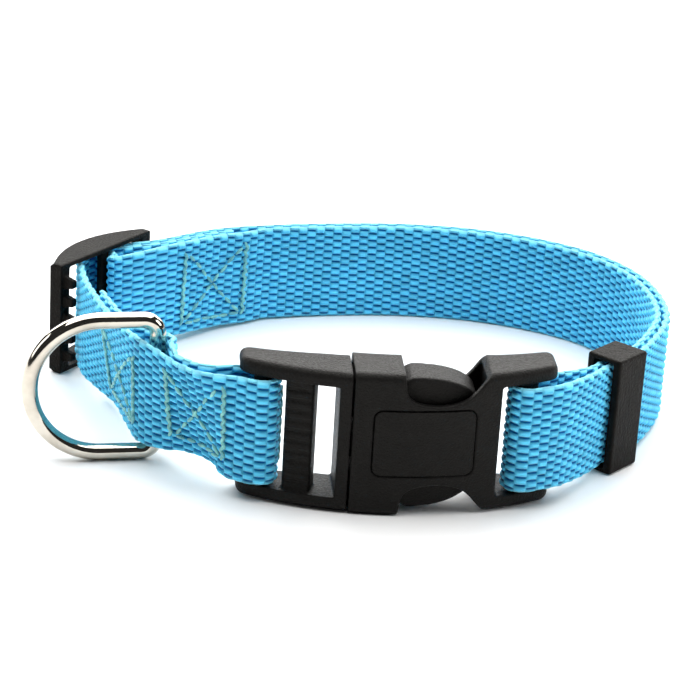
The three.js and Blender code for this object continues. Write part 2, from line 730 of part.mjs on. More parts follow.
function socketGeometry() {
  const rings = SOCKET_SECTIONS.map((row) => {
    const height = row.round * (RAILS_HEIGHT + row.swell * 2 * BUCKLE_SWELL);
    const depth = row.round ** 3 * THREE.MathUtils.lerp(BUCKLE_END_DEPTH, BUCKLE_DEPTH, row.swell);
    return buckleSection(SOCKET_START + row.at * SOCKET_LENGTH, height, depth);
  });
  const edge = BUCKLE_HEIGHT / 2;
  const scallop = WINDOW_OUTLINE.map((row) =>
    plan(WINDOW_START + row.along * SOCKET_WINDOW_LENGTH, edge - row.deep * SOCKET_WINDOW_DEPTH),
  );
  const upper = [plan(WINDOW_START, edge + SOCKET_WALL), ...scallop, plan(WINDOW_END, edge + SOCKET_WALL)];
  const lower = upper.map((point) => plan(point.x, -point.y)).reverse();
  const window = (outline) =>
    toSolid(prism(outline, -BUCKLE_DEPTH, BUCKLE_DEPTH, (u, v, w) => inBuckle(u, w, v)));
  const cavity = bentBlock(
    SOCKET_START - PLUG_WALL,
    CAVITY_END,
    CAVITY_BACK,
    CAVITY_FRONT,
    -CAVITY_HALF_HEIGHT,
    CAVITY_HALF_HEIGHT,
  );
  return toGeometry(
    toSolid(loft(rings))
      .subtract(cavity)
      .subtract(window(upper))
      .subtract(window(lower))
      .subtract(slot(SOCKET_SLOT_START, SOCKET_END + SOCKET_BAR_INSET))
      .subtract(slotMouth(SOCKET_BAR, SOCKET_END + SOCKET_BAR_INSET))
      .add(strapBar(SOCKET_BAR, SOCKET_BAR_WIDTH)),
  );
}

// Slider
function sliderGeometry() {
  const half = SLIDER_LENGTH / 2;
  const flat = (x, y, z) => new THREE.Vector3(x, y, z);
  const arch = Array.from({ length: 11 }, (_, i) => {
    const share = 1 - i / 5;
    return plan(share * half, SLIDER_ARCH * (1 - share * share));
  });
  const crescent = [plan(-half, -SLIDER_END_BAR_DEPTH), plan(half, -SLIDER_END_BAR_DEPTH), ...arch];
  const inside = SLOT_HEIGHT / 2;
  const outside = SLIDER_HEIGHT / 2;
  const rail = (side) => toSolid(prism(crescent, side * inside, side * outside, flat));
  const bar = (lowX, highX, lowY, highY) => {
    const corner = Math.min(highX - lowX, highY - lowY) / 2;
    const reach = inside + SLIDER_RAIL / 2;
    return toSolid(prism(roundedRectangle(lowX, highX, lowY, highY, corner), -reach, reach, flat));
  };
  const centre = -SLIDER_CENTRE_BAR_SET_BACK;
  const endBarOut = SLIDER_ARCH * (1 - ((half - SLIDER_END_BAR_WIDTH) / half) ** 2);
  let made = rail(-1)
    .add(rail(1))
    .add(bar(-half, -half + SLIDER_END_BAR_WIDTH, -SLIDER_END_BAR_DEPTH, endBarOut / 2))
    .add(bar(half - SLIDER_END_BAR_WIDTH, half, -SLIDER_END_BAR_DEPTH, endBarOut / 2))
    .add(
      bar(
        -SLIDER_CENTRE_BAR_WIDTH / 2,
        SLIDER_CENTRE_BAR_WIDTH / 2,
        centre - SLIDER_CENTRE_BAR_DEPTH / 2,
        centre + SLIDER_CENTRE_BAR_DEPTH / 2,
      ),
    );
  const teeth = Math.floor((SLOT_HEIGHT - TOOTH_WIDTH) / TOOTH_PITCH) + 1;
  const tip = -SLIDER_END_BAR_DEPTH - TOOTH_LENGTH;
  for (let i = 0; i < teeth; i += 1) {
    const middle = (i - (teeth - 1) / 2) * TOOTH_PITCH;
    const wedge = [
      plan(-SLIDER_END_BAR_DEPTH / 2, middle - TOOTH_WIDTH / 2),
      plan(tip, middle - TOOTH_WIDTH / 4),
      plan(tip, middle + TOOTH_WIDTH / 4),
      plan(-SLIDER_END_BAR_DEPTH / 2, middle + TOOTH_WIDTH / 2),
    ];
    const lowX = -half + SLIDER_END_BAR_WIDTH / 4;
    const highX = -half + (3 * SLIDER_END_BAR_WIDTH) / 4;
    made = made.add(toSolid(prism(wedge, lowX, highX, (y, z, x) => flat(x, y, z))));
  }
  return toGeometry(made);
}

// Keeper
function keeperGeometry() {
  const depth = KEEPER_GAP + 2 * KEEPER_FACE;
  const ends = [-KEEPER_LENGTH / 2, KEEPER_LENGTH / 2];
  const along = (y, z, x) => new THREE.Vector3(x, y, z);
  const outer = roundedRectangle(-depth / 2, depth / 2, -KEEPER_HEIGHT / 2, KEEPER_HEIGHT / 2, KEEPER_CORNER);
  const corner = KEEPER_CORNER / 2;
  const inner = roundedRectangle(-KEEPER_GAP / 2, KEEPER_GAP / 2, -SLOT_HEIGHT / 2, SLOT_HEIGHT / 2, corner);
  const opening = toSolid(prism(inner, 2 * ends[0], 2 * ends[1], along));
  return toGeometry(toSolid(prism(outer, ends[0], ends[1], along)).subtract(opening));
}

// Lead ring, its bar on the z axis and its bow towards +x
function ringGeometry() {
  const half = (RING_HEIGHT - RING_WIRE) / 2;
  const reach = RING_REACH - RING_WIRE;
  const bow = reach - half;
  const centreline = new THREE.Path();
  centreline.moveTo(0, 0);
  centreline.lineTo(0, half - RING_CORNER);
  centreline.absarc(RING_CORNER, half - RING_CORNER, RING_CORNER, Math.PI, Math.PI / 2, true);
  centreline.lineTo(bow, half);
  centreline.absarc(bow, 0, half, Math.PI / 2, -Math.PI / 2, true);
  centreline.lineTo(RING_CORNER, -half);
  centreline.absarc(RING_CORNER, RING_CORNER - half, RING_CORNER, -Math.PI / 2, -Math.PI, true);
  centreline.lineTo(0, 0);
  const points = centreline.getPoints(TURN_STEPS);
  const loop = points.filter((point, i) => i === 0 || point.distanceTo(points[i - 1]) > PROBE);
  loop.pop();
  const rings = loop.map((point, i) => {
    const before = loop[(i + loop.length - 1) % loop.length];
    const after = loop[(i + 1) % loop.length];
    const direction = after.clone().sub(before).normalize();
    return Array.from({ length: RING_SIDES }, (_, j) => {
      const angle = (2 * Math.PI * (j + 0.5)) / RING_SIDES;
      const out = (RING_WIRE / 2) * Math.cos(angle);
      const side = (RING_WIRE / 2) * Math.sin(angle);
      return new THREE.Vector3(point.x + direction.y * out, side, point.y - direction.x * out);
    });
  });
  return loft(rings, true);
}

// Materials
const webbing = new THREE.MeshStandardMaterial({ color: 0x56bdf2, roughness: 0.85, metalness: 0 });
const plastic = new THREE.MeshStandardMaterial({ color: 0x1b1a19, roughness: 0.5, metalness: 0 });
const nickel = new THREE.MeshStandardMaterial({ color: 0xcfc8bc, roughness: 0.15, metalness: 1 });

function named(name, geometry, material) {
  const mesh = new THREE.Mesh(geometry, material);
  mesh.name = name;
  return mesh;
}

function placed(mesh, frame, height) {
  mesh.position.set(frame.centre.x, frame.centre.y, height);
  mesh.rotation.z = frame.angle;
  return mesh;
}

const collar = new THREE.Group();
collar.add(named("strap", strapGeometry(), webbing));
collar.add(placed(named("male_buckle", plugGeometry(), plastic), buckle, RISE.buckle));
collar.add(placed(named("female_buckle", socketGeometry(), plastic), buckle, RISE.buckle));
collar.add(placed(named("tri_glide", sliderGeometry(), plastic), slider, RISE.slider));
collar.add(placed(named("keeper", keeperGeometry(), plastic), keeper, RISE.keeper));
collar.add(placed(named("d_ring", ringGeometry(), nickel), ringSeat, RING_HEIGHT / 2));

// The origin is under the middle of the whole collar, on the surface that it lies on
const box = new THREE.Box3().setFromObject(collar, true);
const middle = box.getCenter(new THREE.Vector3());
collar.position.set(-middle.x, -middle.y, -box.min.z);

export default collar;
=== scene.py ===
import math

import bmesh
import bpy
import numpy as np
from mathutils import Matrix, Vector


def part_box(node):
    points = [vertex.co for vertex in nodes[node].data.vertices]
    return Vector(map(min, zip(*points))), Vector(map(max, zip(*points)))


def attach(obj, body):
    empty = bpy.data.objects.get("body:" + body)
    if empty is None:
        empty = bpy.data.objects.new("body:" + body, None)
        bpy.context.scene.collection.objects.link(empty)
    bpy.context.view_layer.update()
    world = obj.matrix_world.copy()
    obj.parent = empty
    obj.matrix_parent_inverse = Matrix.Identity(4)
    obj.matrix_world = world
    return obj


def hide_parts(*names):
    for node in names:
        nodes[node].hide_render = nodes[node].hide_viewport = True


# Dog collar lying on a white table, its buckle towards the camera. Sizes of the pieces are in millimetres and
# degrees. The lights, the table and the heights of bumps are in metres.
mm = 0.001
tiny = 1e-6  # places closer than this are one place

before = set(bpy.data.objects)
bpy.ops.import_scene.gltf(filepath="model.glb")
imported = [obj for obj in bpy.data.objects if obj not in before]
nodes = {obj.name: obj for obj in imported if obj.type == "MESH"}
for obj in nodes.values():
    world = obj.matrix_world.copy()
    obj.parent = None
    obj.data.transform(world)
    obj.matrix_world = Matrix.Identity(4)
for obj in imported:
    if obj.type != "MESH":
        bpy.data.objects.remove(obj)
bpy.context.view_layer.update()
print("frame loaded:", ", ".join(sorted(nodes)))


# Helpers for meshes
def intoScene(name, data):
    piece = bpy.data.objects.new(name, data)
    bpy.context.scene.collection.objects.link(piece)
    return piece


def newObject(name, bm):
    mesh = bpy.data.meshes.new(name)
    bm.to_mesh(mesh)
    bm.free()
    return intoScene(name, mesh)


def smoothFaces(piece):
    piece.data.polygons.foreach_set("use_smooth", [True] * len(piece.data.polygons))
    piece.data.update()


def edgesWhere(bm, test):
    return [e for e in bm.edges if test(e.verts[0].co, e.verts[1].co)]


def bevelEdges(bm, edges, radius, segments=4):
    bmesh.ops.bevel(bm, geom=edges, offset=radius, offset_type="OFFSET", affect="EDGES",
                    segments=segments, profile=0.5, material=-1, clamp_overlap=True)


# Block between two corners in mm, its upright edges and then its top and bottom rims rounded, but not at the seam
def block(low, high, upright=None, rim=0.0, segments=5, seam=None):
    bm = bmesh.new()
    bmesh.ops.create_cube(bm, size=1.0)
    size = [h - l for l, h in zip(low, high)]
    middle = [(h + l) / 2 for l, h in zip(low, high)]
    bmesh.ops.scale(bm, vec=size, verts=bm.verts)
    bmesh.ops.translate(bm, vec=middle, verts=bm.verts)
    for (sideX, sideY), radius in (upright or {}).items():
        x = high[0] if sideX > 0 else low[0]
        y = high[1] if sideY > 0 else low[1]
        found = edgesWhere(bm, lambda a, b: abs(a.x - b.x) < tiny and abs(a.y - b.y) < tiny
                           and abs(a.x - x) < tiny and abs(a.y - y) < tiny)
        bevelEdges(bm, found, radius, 6)
    if rim:
        found = edgesWhere(bm, lambda a, b: abs(a.z - b.z) < tiny
                           and (abs(a.z - low[2]) < tiny or abs(a.z - high[2]) < tiny)
                           and not (seam is not None and abs(a.x - seam) < tiny and abs(b.x - seam) < tiny))
        bevelEdges(bm, found, rim, segments)
    return bm


# Flat outline pushed from one level to another; place turns (a, b, level) into a point
def prism(outline, low, high, place):
    bm = bmesh.new()
    face = bm.faces.new([bm.verts.new(place(a, b, low)) for a, b in outline])
    pushed = bmesh.ops.extrude_face_region(bm, geom=[face])
    moved = [v for v in pushed["geom"] if isinstance(v, bmesh.types.BMVert)]
    shift = Vector(place(0, 0, high)) - Vector(place(0, 0, low))
    bmesh.ops.translate(bm, vec=shift, verts=moved)
    bmesh.ops.recalc_face_normals(bm, faces=bm.faces)
    return bm


def plan(a, b, level):
    return (a, b, level)


def elevation(a, b, level):
    return (a, level, b)


def endOn(a, b, level):
    return (level, a, b)


# Solid of an outline in plan: named corners rounded, then its rims, but not at the seam
def planBlock(outline, reach, corners, rim, seam=None):
    bm = prism(outline, -reach, reach, plan)
    for (x, y), radius in corners.items():
        found = edgesWhere(bm, lambda a, b: max(abs(a.x - x), abs(b.x - x)) < tiny
                           and max(abs(a.y - y), abs(b.y - y)) < tiny)
        bevelEdges(bm, found, radius, 6)
    rims = edgesWhere(bm, lambda a, b: abs(a.z - b.z) < tiny
                      and not (seam is not None and abs(a.x - seam) < tiny and abs(b.x - seam) < tiny))
    bevelEdges(bm, rims, rim, 5)
    return bm


def roundedOutline(low, high, radius, steps=6):
    points = []
    corners = ((high[0], high[1]), (low[0], high[1]), (low[0], low[1]), (high[0], low[1]))
    for quarter, (x, y) in enumerate(corners):
        inX = x - radius if x == high[0] else x + radius
        inY = y - radius if y == high[1] else y + radius
        for k in range(steps + 1):
            angle = math.pi / 2 * (quarter + k / steps)
            points.append((inX + radius * math.cos(angle), inY + radius * math.sin(angle)))
    return points


# Smooth run of points through a short table of points
def eased(points, steps=6):
    pts = np.array(points, float)
    pad = np.vstack([2 * pts[0] - pts[1], pts, 2 * pts[-1] - pts[-2]])
    out = []
    for i in range(1, len(pad) - 2):
        p0, p1, p2, p3 = pad[i - 1], pad[i], pad[i + 1], pad[i + 2]
        for k in range(steps):
            t = k / steps
            out.append(0.5 * (2 * p1 + (p2 - p0) * t + (2 * p0 - 5 * p1 + 4 * p2 - p3) * t * t
                              + (3 * p1 - p0 - 3 * p2 + p3) * t ** 3))
    out.append(pts[-1])
    return [tuple(p) for p in out]


# Outline without points that lie on top of each other
def spaced(outline):
    return [p for k, p in enumerate(outline) if k == 0 or math.dist(p, outline[k - 1]) > 0.02]


def allCorners(radius):
    return {(x, y): radius for x in (-1, 1) for y in (-1, 1)}


# Mesh of a piece with its modifiers applied
def finishedMesh(piece):
    ready = piece.evaluated_get(bpy.context.evaluated_depsgraph_get())
    return bpy.data.meshes.new_from_object(ready)


def addBoolean(piece, tool, kind):
    step = piece.modifiers.new(kind, "BOOLEAN")
    step.operation, step.object, step.solver = kind, tool, "EXACT"


# Rounds every edge as a mould does: a fine voxel grid, then some smoothing
def addMelt(piece, grid, softness):
    melt = piece.modifiers.new("melt", "REMESH")
    melt.mode, melt.voxel_size = "VOXEL", grid
    soft = piece.modifiers.new("soft", "SMOOTH")
    soft.factor, soft.iterations = 0.5, softness


# Solid rounded on its own, for a softer part of a larger moulding
def softened(bm, grid, softness):
    piece = newObject("soft_part", bm)
    addMelt(piece, grid, softness)
    ready = bmesh.new()
    ready.from_object(piece, bpy.context.evaluated_depsgraph_get())
    bpy.data.objects.remove(piece)
    return ready


# Joins one solid to another, or cuts it out
def combined(first, kind, second):
    piece, tool = newObject("first_solid", first), newObject("second_solid", second)
    addBoolean(piece, tool, kind)
    ready = bmesh.new()
    ready.from_mesh(finishedMesh(piece))
    for helper in (piece, tool):
        bpy.data.objects.remove(helper)
    return ready


def withCuts(bm, cuts):
    for cut in cuts:
        bm = combined(bm, "DIFFERENCE", cut)
    return bm


# Joins flat solids, rounds them like one moulding, then places the result
def moulded(name, solids, look, place):
    body = newObject(name + "_raw", solids[0])
    helpers = [body]
    for k, bm in enumerate(solids[1:]):
        helpers.append(newObject(f"{name}_part_{k}", bm))
        addBoolean(body, helpers[-1], "UNION")
    addMelt(body, look["grid"], look["softness"])
    mesh = finishedMesh(body)
    mesh.name = name
    points = np.empty(len(mesh.vertices) * 3)
    mesh.vertices.foreach_get("co", points)
    points = place(points.reshape(-1, 3)) * mm
    mesh.vertices.foreach_set("co", points.ravel())
    piece = intoScene(name, mesh)
    for helper in helpers:
        data = helper.data
        bpy.data.objects.remove(helper)
        bpy.data.meshes.remove(data)
    smoothFaces(piece)
    print(f"{name}: {len(mesh.polygons)} faces")
    return piece


# Turns and moves flat points to their place in plan
def setDown(points, centre, degrees, height):
    c, s = math.cos(math.radians(degrees)), math.sin(math.radians(degrees))
    x, y, z = points[:, 0], points[:, 1], points[:, 2]
    return np.stack([centre[0] + c * x - s * y, centre[1] + s * x + c * y, z + height], 1)


# Camera, table and light
camera = {
    "place": (-1.55, -442.56, 189.92),
    "focal": 2473,  # in pixels of a picture of this width
    "pixels": 700,
    "sensor": 36,
    "pitch": 22.04,
    "roll": 3.49,
}


def setCamera():
    pitch, roll = math.radians(camera["pitch"]), math.radians(camera["roll"])
    ahead = Vector((0, math.cos(pitch), -math.sin(pitch)))
    right = Vector((1, 0, 0))
    up = right.cross(ahead)
    side = right * math.cos(roll) + up * math.sin(roll)
    top = up * math.cos(roll) - right * math.sin(roll)
    lens = bpy.data.cameras.new("camera")
    lens.lens = camera["focal"] / camera["pixels"] * camera["sensor"]
    lens.sensor_width = camera["sensor"]
    lens.clip_start, lens.clip_end = 0.01, 50
    eye = intoScene("camera", lens)
    turned = Matrix((side, top, -ahead)).transposed().to_4x4()
    eye.matrix_world = Matrix.Translation(Vector(camera["place"]) * mm) @ turned
    bpy.context.scene.camera = eye


# Each light: where it stands, how large it is and its strength, all aimed at the collar
lights = {
    "overhead": {"place": (0.0, 0.15, 1.2), "size": (1.7, 1.3), "power": 27, "tint": (1, 0.995, 0.985)},
    "behind": {"place": (0.0, 1.05, 0.62), "size": (2.2, 0.8), "power": 31, "tint": (1, 0.99, 0.97)},
    "leftBox": {"place": (-1.2, 0.0, 0.5), "size": (0.6, 0.6), "power": 3.5, "tint": (1, 0.99, 0.97)},
    "rightBox": {"place": (1.1, -0.15, 0.5), "size": (0.5, 0.5), "power": 4, "tint": (0.97, 0.99, 1)},
}
lightsAim = (0, 0, 0.01)
surround = 0.035  # strength of the grey room around the table
tableLook = {"half": 3.0, "squares": 8, "colour": (0.93, 0.93, 0.93, 1), "roughness": 0.9, "shine": 0.1}


def setLights():
    for name, row in lights.items():
        lamp = bpy.data.lights.new(name, "AREA")
        lamp.shape, lamp.size, lamp.size_y = "RECTANGLE", *row["size"]
        lamp.energy, lamp.color = row["power"], row["tint"]
        holder = intoScene(name, lamp)
        holder.location = row["place"]
        aim = Vector(lightsAim) - Vector(row["place"])
        holder.rotation_euler = aim.to_track_quat("-Z", "Y").to_euler()
    world = bpy.data.worlds.new("studio")
    world.use_nodes = True
    world.node_tree.nodes["Background"].inputs["Color"].default_value = (1, 1, 1, 1)
    world.node_tree.nodes["Background"].inputs["Strength"].default_value = surround
    bpy.context.scene.world = world


def setTable():
    bm = bmesh.new()
    squares = tableLook["squares"]
    bmesh.ops.create_grid(bm, x_segments=squares, y_segments=squares, size=tableLook["half"])
    table = newObject("table", bm)
    paint = bpy.data.materials.new("table_white")
    paint.use_nodes = True
    shader = paint.node_tree.nodes["Principled BSDF"]
    shader.inputs["Base Color"].default_value = tableLook["colour"]
    shader.inputs["Roughness"].default_value = tableLook["roughness"]
    shader.inputs["Specular IOR Level"].default_value = tableLook["shine"]
    table.data.materials.append(paint)


setCamera()
setLights()
setTable()
bpy.context.scene.view_settings.view_transform = "Standard"
print("camera, lights and table ready")


# Material groups
def newGroup(name, inputs, outputs):
    tree = bpy.data.node_groups.new(name, "ShaderNodeTree")
    for label, kind, value in inputs:
        socket = tree.interface.new_socket(label, in_out="INPUT", socket_type=kind)
        if value is not None:
            socket.default_value = value
    for label, kind in outputs:
        tree.interface.new_socket(label, in_out="OUTPUT", socket_type=kind)
    return tree, tree.nodes.new("NodeGroupInput"), tree.nodes.new("NodeGroupOutput")


def addNode(tree, kind, values=None, **settings):
    node = tree.nodes.new(kind)
    for key, value in settings.items():
        setattr(node, key, value)
    for key, value in (values or {}).items():
        node.inputs[key].default_value = value
    return node


# Pebbled grain of moulded plastic: a height for bumps and a soft mask for colour and gloss
def mouldGrainGroup():
    tree, start, end = newGroup(
        "mouldGrain",
        [("Vector", "NodeSocketVector", None), ("Grain", "NodeSocketFloat", 2600.0),
         ("Patch", "NodeSocketFloat", 160.0)],
        [("Height", "NodeSocketFloat"), ("Mask", "NodeSocketFloat")],
    )
    link = tree.links.new
    fine = addNode(tree, "ShaderNodeTexNoise", {"Detail": 3.0, "Roughness": 0.6})
    patch = addNode(tree, "ShaderNodeTexNoise", {"Detail": 4.0, "Roughness": 0.65})
    spread = addNode(tree, "ShaderNodeMapRange", {"From Min": 0.35, "From Max": 0.65})
    link(start.outputs["Vector"], fine.inputs["Vector"])
    link(start.outputs["Grain"], fine.inputs["Scale"])
    link(start.outputs["Vector"], patch.inputs["Vector"])
    link(start.outputs["Patch"], patch.inputs["Scale"])
    link(patch.outputs["Fac"], spread.inputs["Value"])
    link(fine.outputs["Fac"], end.inputs["Height"])
    link(spread.outputs["Result"], end.inputs["Mask"])
    return tree


# Filaments that run along a yarn, from a UV map in shares of the strap's width
def yarnGroup():
    tree, start, end = newGroup(
        "yarn",
        [("Vector", "NodeSocketVector", None), ("Fineness", "NodeSocketFloat", 60.0)],
        [("Height", "NodeSocketFloat"), ("Fleck", "NodeSocketFloat")],
    )
    link = tree.links.new
    stretch = addNode(tree, "ShaderNodeMapping", {"Scale": (0.28, 1.0, 1.0)})
    threads = addNode(tree, "ShaderNodeTexNoise", {"Detail": 3.0, "Roughness": 0.6})
    fleck = addNode(tree, "ShaderNodeTexNoise", {"Scale": 9.0, "Detail": 5.0, "Roughness": 0.7})
    link(start.outputs["Vector"], stretch.inputs["Vector"])
    link(stretch.outputs["Vector"], threads.inputs["Vector"])
    link(start.outputs["Fineness"], threads.inputs["Scale"])
    link(start.outputs["Vector"], fleck.inputs["Vector"])
    link(threads.outputs["Fac"], end.inputs["Height"])
    link(fleck.outputs["Fac"], end.inputs["Fleck"])
    return tree


# Bricks of the weave from a UV map in widths: slit between two yarns, where the webbing paints shade, roundness
# of a yarn and a tone for each
def weaveGroup():
    tree, start, end = newGroup(
        "weave",
        [("Vector", "NodeSocketVector", None), ("Columns", "NodeSocketFloat", 10.5),
         ("Rows", "NodeSocketFloat", 13.0), ("Slit width", "NodeSocketFloat", 0.3)],
        [("Slit", "NodeSocketFloat"), ("Height", "NodeSocketFloat"), ("Tone", "NodeSocketFloat")],
    )
    link = tree.links.new

    def maths(kind, first, second=None):
        node = addNode(tree, "ShaderNodeMath", operation=kind)
        for socket, value in zip(node.inputs, (first, second)):
            if isinstance(value, (int, float)):
                socket.default_value = value
            elif value is not None:
                link(value, socket)
        return node.outputs[0]

    def smoothStep(value, low, high, first, last):
        node = addNode(tree, "ShaderNodeMapRange", {"To Min": first, "To Max": last},
                       interpolation_type="SMOOTHSTEP")
        link(value, node.inputs["Value"])
        for key, edge in (("From Min", low), ("From Max", high)):
            if isinstance(edge, (int, float)):
                node.inputs[key].default_value = edge
            else:
                link(edge, node.inputs[key])
        return node.outputs["Result"]

    parts = addNode(tree, "ShaderNodeSeparateXYZ")
    link(start.outputs["Vector"], parts.inputs[0])
    along = maths("MULTIPLY", parts.outputs["X"], start.outputs["Columns"])
    column = maths("FLOOR", along)
    slant = maths("MULTIPLY", maths("FRACT", along), 0.08)  # yarns lean a little in their column
    shift = maths("ADD", maths("MULTIPLY", maths("MODULO", column, 2), 0.5), slant)
    across = maths("ADD", maths("MULTIPLY", parts.outputs["Y"], start.outputs["Rows"]), shift)
    toSlit = maths("MULTIPLY", maths("PINGPONG", across, 0.5), 2)
    toNext = maths("MULTIPLY", maths("PINGPONG", along, 0.5), 2)
    gap = maths("MULTIPLY", smoothStep(toSlit, 0.06, start.outputs["Slit width"], 1, 0),
                smoothStep(toNext, 0.02, 0.3, 0.3, 1))
    # roundness of a yarn, which gives its bumps and its painted highlight and shade
    crown = maths("MULTIPLY", smoothStep(toSlit, 0.0, 0.8, 0, 1), smoothStep(toNext, 0.0, 0.35, 0.55, 1))
    cell = addNode(tree, "ShaderNodeCombineXYZ")
    noise = addNode(tree, "ShaderNodeTexWhiteNoise", noise_dimensions="2D")
    link(column, cell.inputs["X"])
    link(maths("FLOOR", across), cell.inputs["Y"])
    link(cell.outputs[0], noise.inputs["Vector"])
    link(gap, end.inputs["Slit"])
    link(crown, end.inputs["Height"])
    link(noise.outputs["Value"], end.inputs["Tone"])
    return tree


mouldGrain = mouldGrainGroup()
yarn = yarnGroup()
weaveBricks = weaveGroup()


def newMaterial(name):
    material = bpy.data.materials.new(name)
    material.use_nodes = True
    return material, material.node_tree, material.node_tree.nodes["Principled BSDF"]


# Links, each a row of node, output, node, input
def wire(tree, *rows):
    for source, output, target, entry in rows:
        tree.links.new(source.outputs[output], target.inputs[entry])


def setSockets(shader, values):
    for socket, value in values.items():
        shader.inputs[socket].default_value = value


def placeGroup(tree, group, values):
    node = tree.nodes.new("ShaderNodeGroup")
    node.node_tree = group
    for key, value in values.items():
        node.inputs[key].default_value = value
    return node


def ramp(tree, stops):
    node = tree.nodes.new("ShaderNodeValToRGB")
    scale = node.color_ramp
    while len(scale.elements) < len(stops):
        scale.elements.new(0.5)
    for element, (at, colour) in zip(scale.elements, stops):
        element.position = at
        element.color = (*colour, 1)
    return node


# Finish with the pebbled grain, which gives its colour and bumps, and its gloss where the look has a range for it
def grainedMaterial(name, look):
    material, tree, shader = newMaterial(name)
    where = addNode(tree, "ShaderNodeTexCoord")
    grain = placeGroup(tree, mouldGrain, {"Grain": look["grain"], "Patch": look["patch"]})
    colour = ramp(tree, [(0.0, look["colour"]), (1.0, look["patchColour"])])
    bump = addNode(tree, "ShaderNodeBump", {"Strength": look["strength"], "Distance": look["bump"]})
    wire(tree, (where, "Object", grain, "Vector"), (grain, "Mask", colour, "Fac"),
         (grain, "Height", bump, "Height"), (colour, "Color", shader, "Base Color"),
         (bump, "Normal", shader, "Normal"))
    if "gloss" in look:
        gloss = addNode(tree, "ShaderNodeMapRange", {"To Min": look["gloss"][0], "To Max": look["gloss"][1]})
        wire(tree, (grain, look["glossFrom"], gloss, "Value"), (gloss, "Result", shader, "Roughness"))
    setSockets(shader, look["sockets"])
    return material


# Webbing
webbing = {
    "width": 20.0,
    "half": 0.52,  # half thickness under the yarns
    "crown": 0.27,  # of a yarn above that
    "groove": 0.42,  # depth of the slit between two yarns of a column
    "slit": 0.3,  # width of that slit, in yarns
    "dip": 0.18,  # depth where one column meets the next
    "meet": 0.22,  # width of that dip, in columns
    "rows": 13,
    "column": 1.9,
    "lean": 0.08,  # of a yarn in its column, in yarns
    "edge": 0.75,  # rounding of both edges
    "draw": 0.00048,  # share by which each column draws the edges in
    # lit, middle and deep: the yarn colour, then painted shade at the edge of a slit and darker painted shade in
    # the slit between two yarns
    "lit": (0.115, 0.66, 1.0),
    "middle": (0.05, 0.48, 0.85),
    "deep": (0.0, 0.16, 0.5),
    "edgeHighlight": (0.3, 0.82, 0.95),  # painted highlight on the yarns along both edges
    "edgeHighlightShare": 0.7,
    "fineness": 90.0,  # of the filaments
    "threadRise": 0.35,  # of the filaments on a yarn, in the bumps
    "tones": (0.8, 1.16),  # darkest and lightest yarn
    "toneShare": 0.55,  # of those tones by yarn, the rest by flecks
    "rimShadeCrownHighlight": (0.78, 1.15),  # painted shade at a yarn's rim and painted highlight at its middle
    "bump": {"Strength": 0.85, "Distance": 0.0005},
    "sockets": {"Roughness": 0.62, "Sheen Weight": 0.4, "Sheen Roughness": 0.35,
                "Sheen Tint": (0.45, 0.85, 1, 1), "Specular IOR Level": 0.2},
}


# The strap's own sections of four corners, read back from its CAD solid from the tail to the end of the fold
def strapRings():
    bm = bmesh.new()
    bm.from_mesh(nodes["strap"].data)
    bmesh.ops.remove_doubles(bm, verts=bm.verts, dist=2e-6)
    ends = [v for v in bm.verts if len(v.link_edges) < 6]  # only corners of the two end faces
    tail = max(ends, key=lambda v: v.co.y)
    nearest = sorted(ends, key=lambda v: (v.co - tail.co).length)
    first = [v for v in nearest if (v.co - tail.co).length < 1.2 * webbing["width"] * mm][:4]
    seen, rings = set(first), [first]
    while rings[-1]:
        ahead = []
        for v in rings[-1]:
            for e in v.link_edges:
                w = e.other_vert(v)
                if w not in seen:
                    seen.add(w)
                    ahead.append(w)
        rings.append(ahead)
    spots = [sorted([np.array(v.co) for v in r], key=lambda p: p[2]) for r in rings]
    bm.free()
    return [np.array(s) for s in spots if len(s) == 4]


def hermite(at, knots, values):
    slopes = np.gradient(values, knots, axis=0)
    i = np.clip(np.searchsorted(knots, at, side="right") - 1, 0, len(knots) - 2)
    h = (knots[i + 1] - knots[i])[:, None]
    t = ((at - knots[i]) / (knots[i + 1] - knots[i]))[:, None]
    return ((2 * t**3 - 3 * t**2 + 1) * values[i] + (t**3 - 2 * t**2 + t) * h * slopes[i]
            + (3 * t**2 - 2 * t**3) * values[i + 1] + (t**3 - t**2) * h * slopes[i + 1])


# Middle line of the strap, the way across it and the distance along it, at each of its sections
def makeRibbon(rings):
    middle = np.array([r.mean(0) for r in rings]) / mm
    rise = np.array([(r[2:].mean(0) - r[:2].mean(0)) for r in rings]) / mm
    knots = np.concatenate([[0], np.cumsum(np.linalg.norm(np.diff(middle, axis=0), axis=1))])
    return {"middle": middle, "rise": rise, "knots": knots, "length": knots[-1]}


ribbon = makeRibbon(strapRings())


# Places on the middle line, and the ways along, up and out there
def ribbonFrames(at, look=0.15):
    at = np.asarray(at, float)
    knots, length = ribbon["knots"], ribbon["length"]
    middle = hermite(at, knots, ribbon["middle"])
    ahead = hermite(np.clip(at + look, 0, length), knots, ribbon["middle"])
    behind = hermite(np.clip(at - look, 0, length), knots, ribbon["middle"])
    along = ahead - behind
    along /= np.linalg.norm(along, axis=1)[:, None]
    up = hermite(at, knots, ribbon["rise"])
    up -= (up * along).sum(1)[:, None] * along
    up /= np.linalg.norm(up, axis=1)[:, None]
    return middle, along, up, np.cross(along, up)


# Distances at which the strap passes closest to a point in plan
def ribbonPasses(point, reach):
    at = np.linspace(0, ribbon["length"], 4000)
    middle = hermite(at, ribbon["knots"], ribbon["middle"])
    gap = np.hypot(middle[:, 0] - point[0], middle[:, 1] - point[1])
    return [at[i] for i in range(1, len(at) - 1)
            if gap[i] < reach and gap[i] <= gap[i - 1] and gap[i] < gap[i + 1]]


keeperBox = np.array(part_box("keeper")) / mm
sliderBox = np.array(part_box("tri_glide")) / mm
atKeeper = ribbonPasses(keeperBox.mean(0), 6)
atSlider = ribbonPasses(sliderBox.mean(0), 8)
print(f"strap is {ribbon['length']:.1f} mm, passes the keeper at {atKeeper} and the slider at {atSlider}")


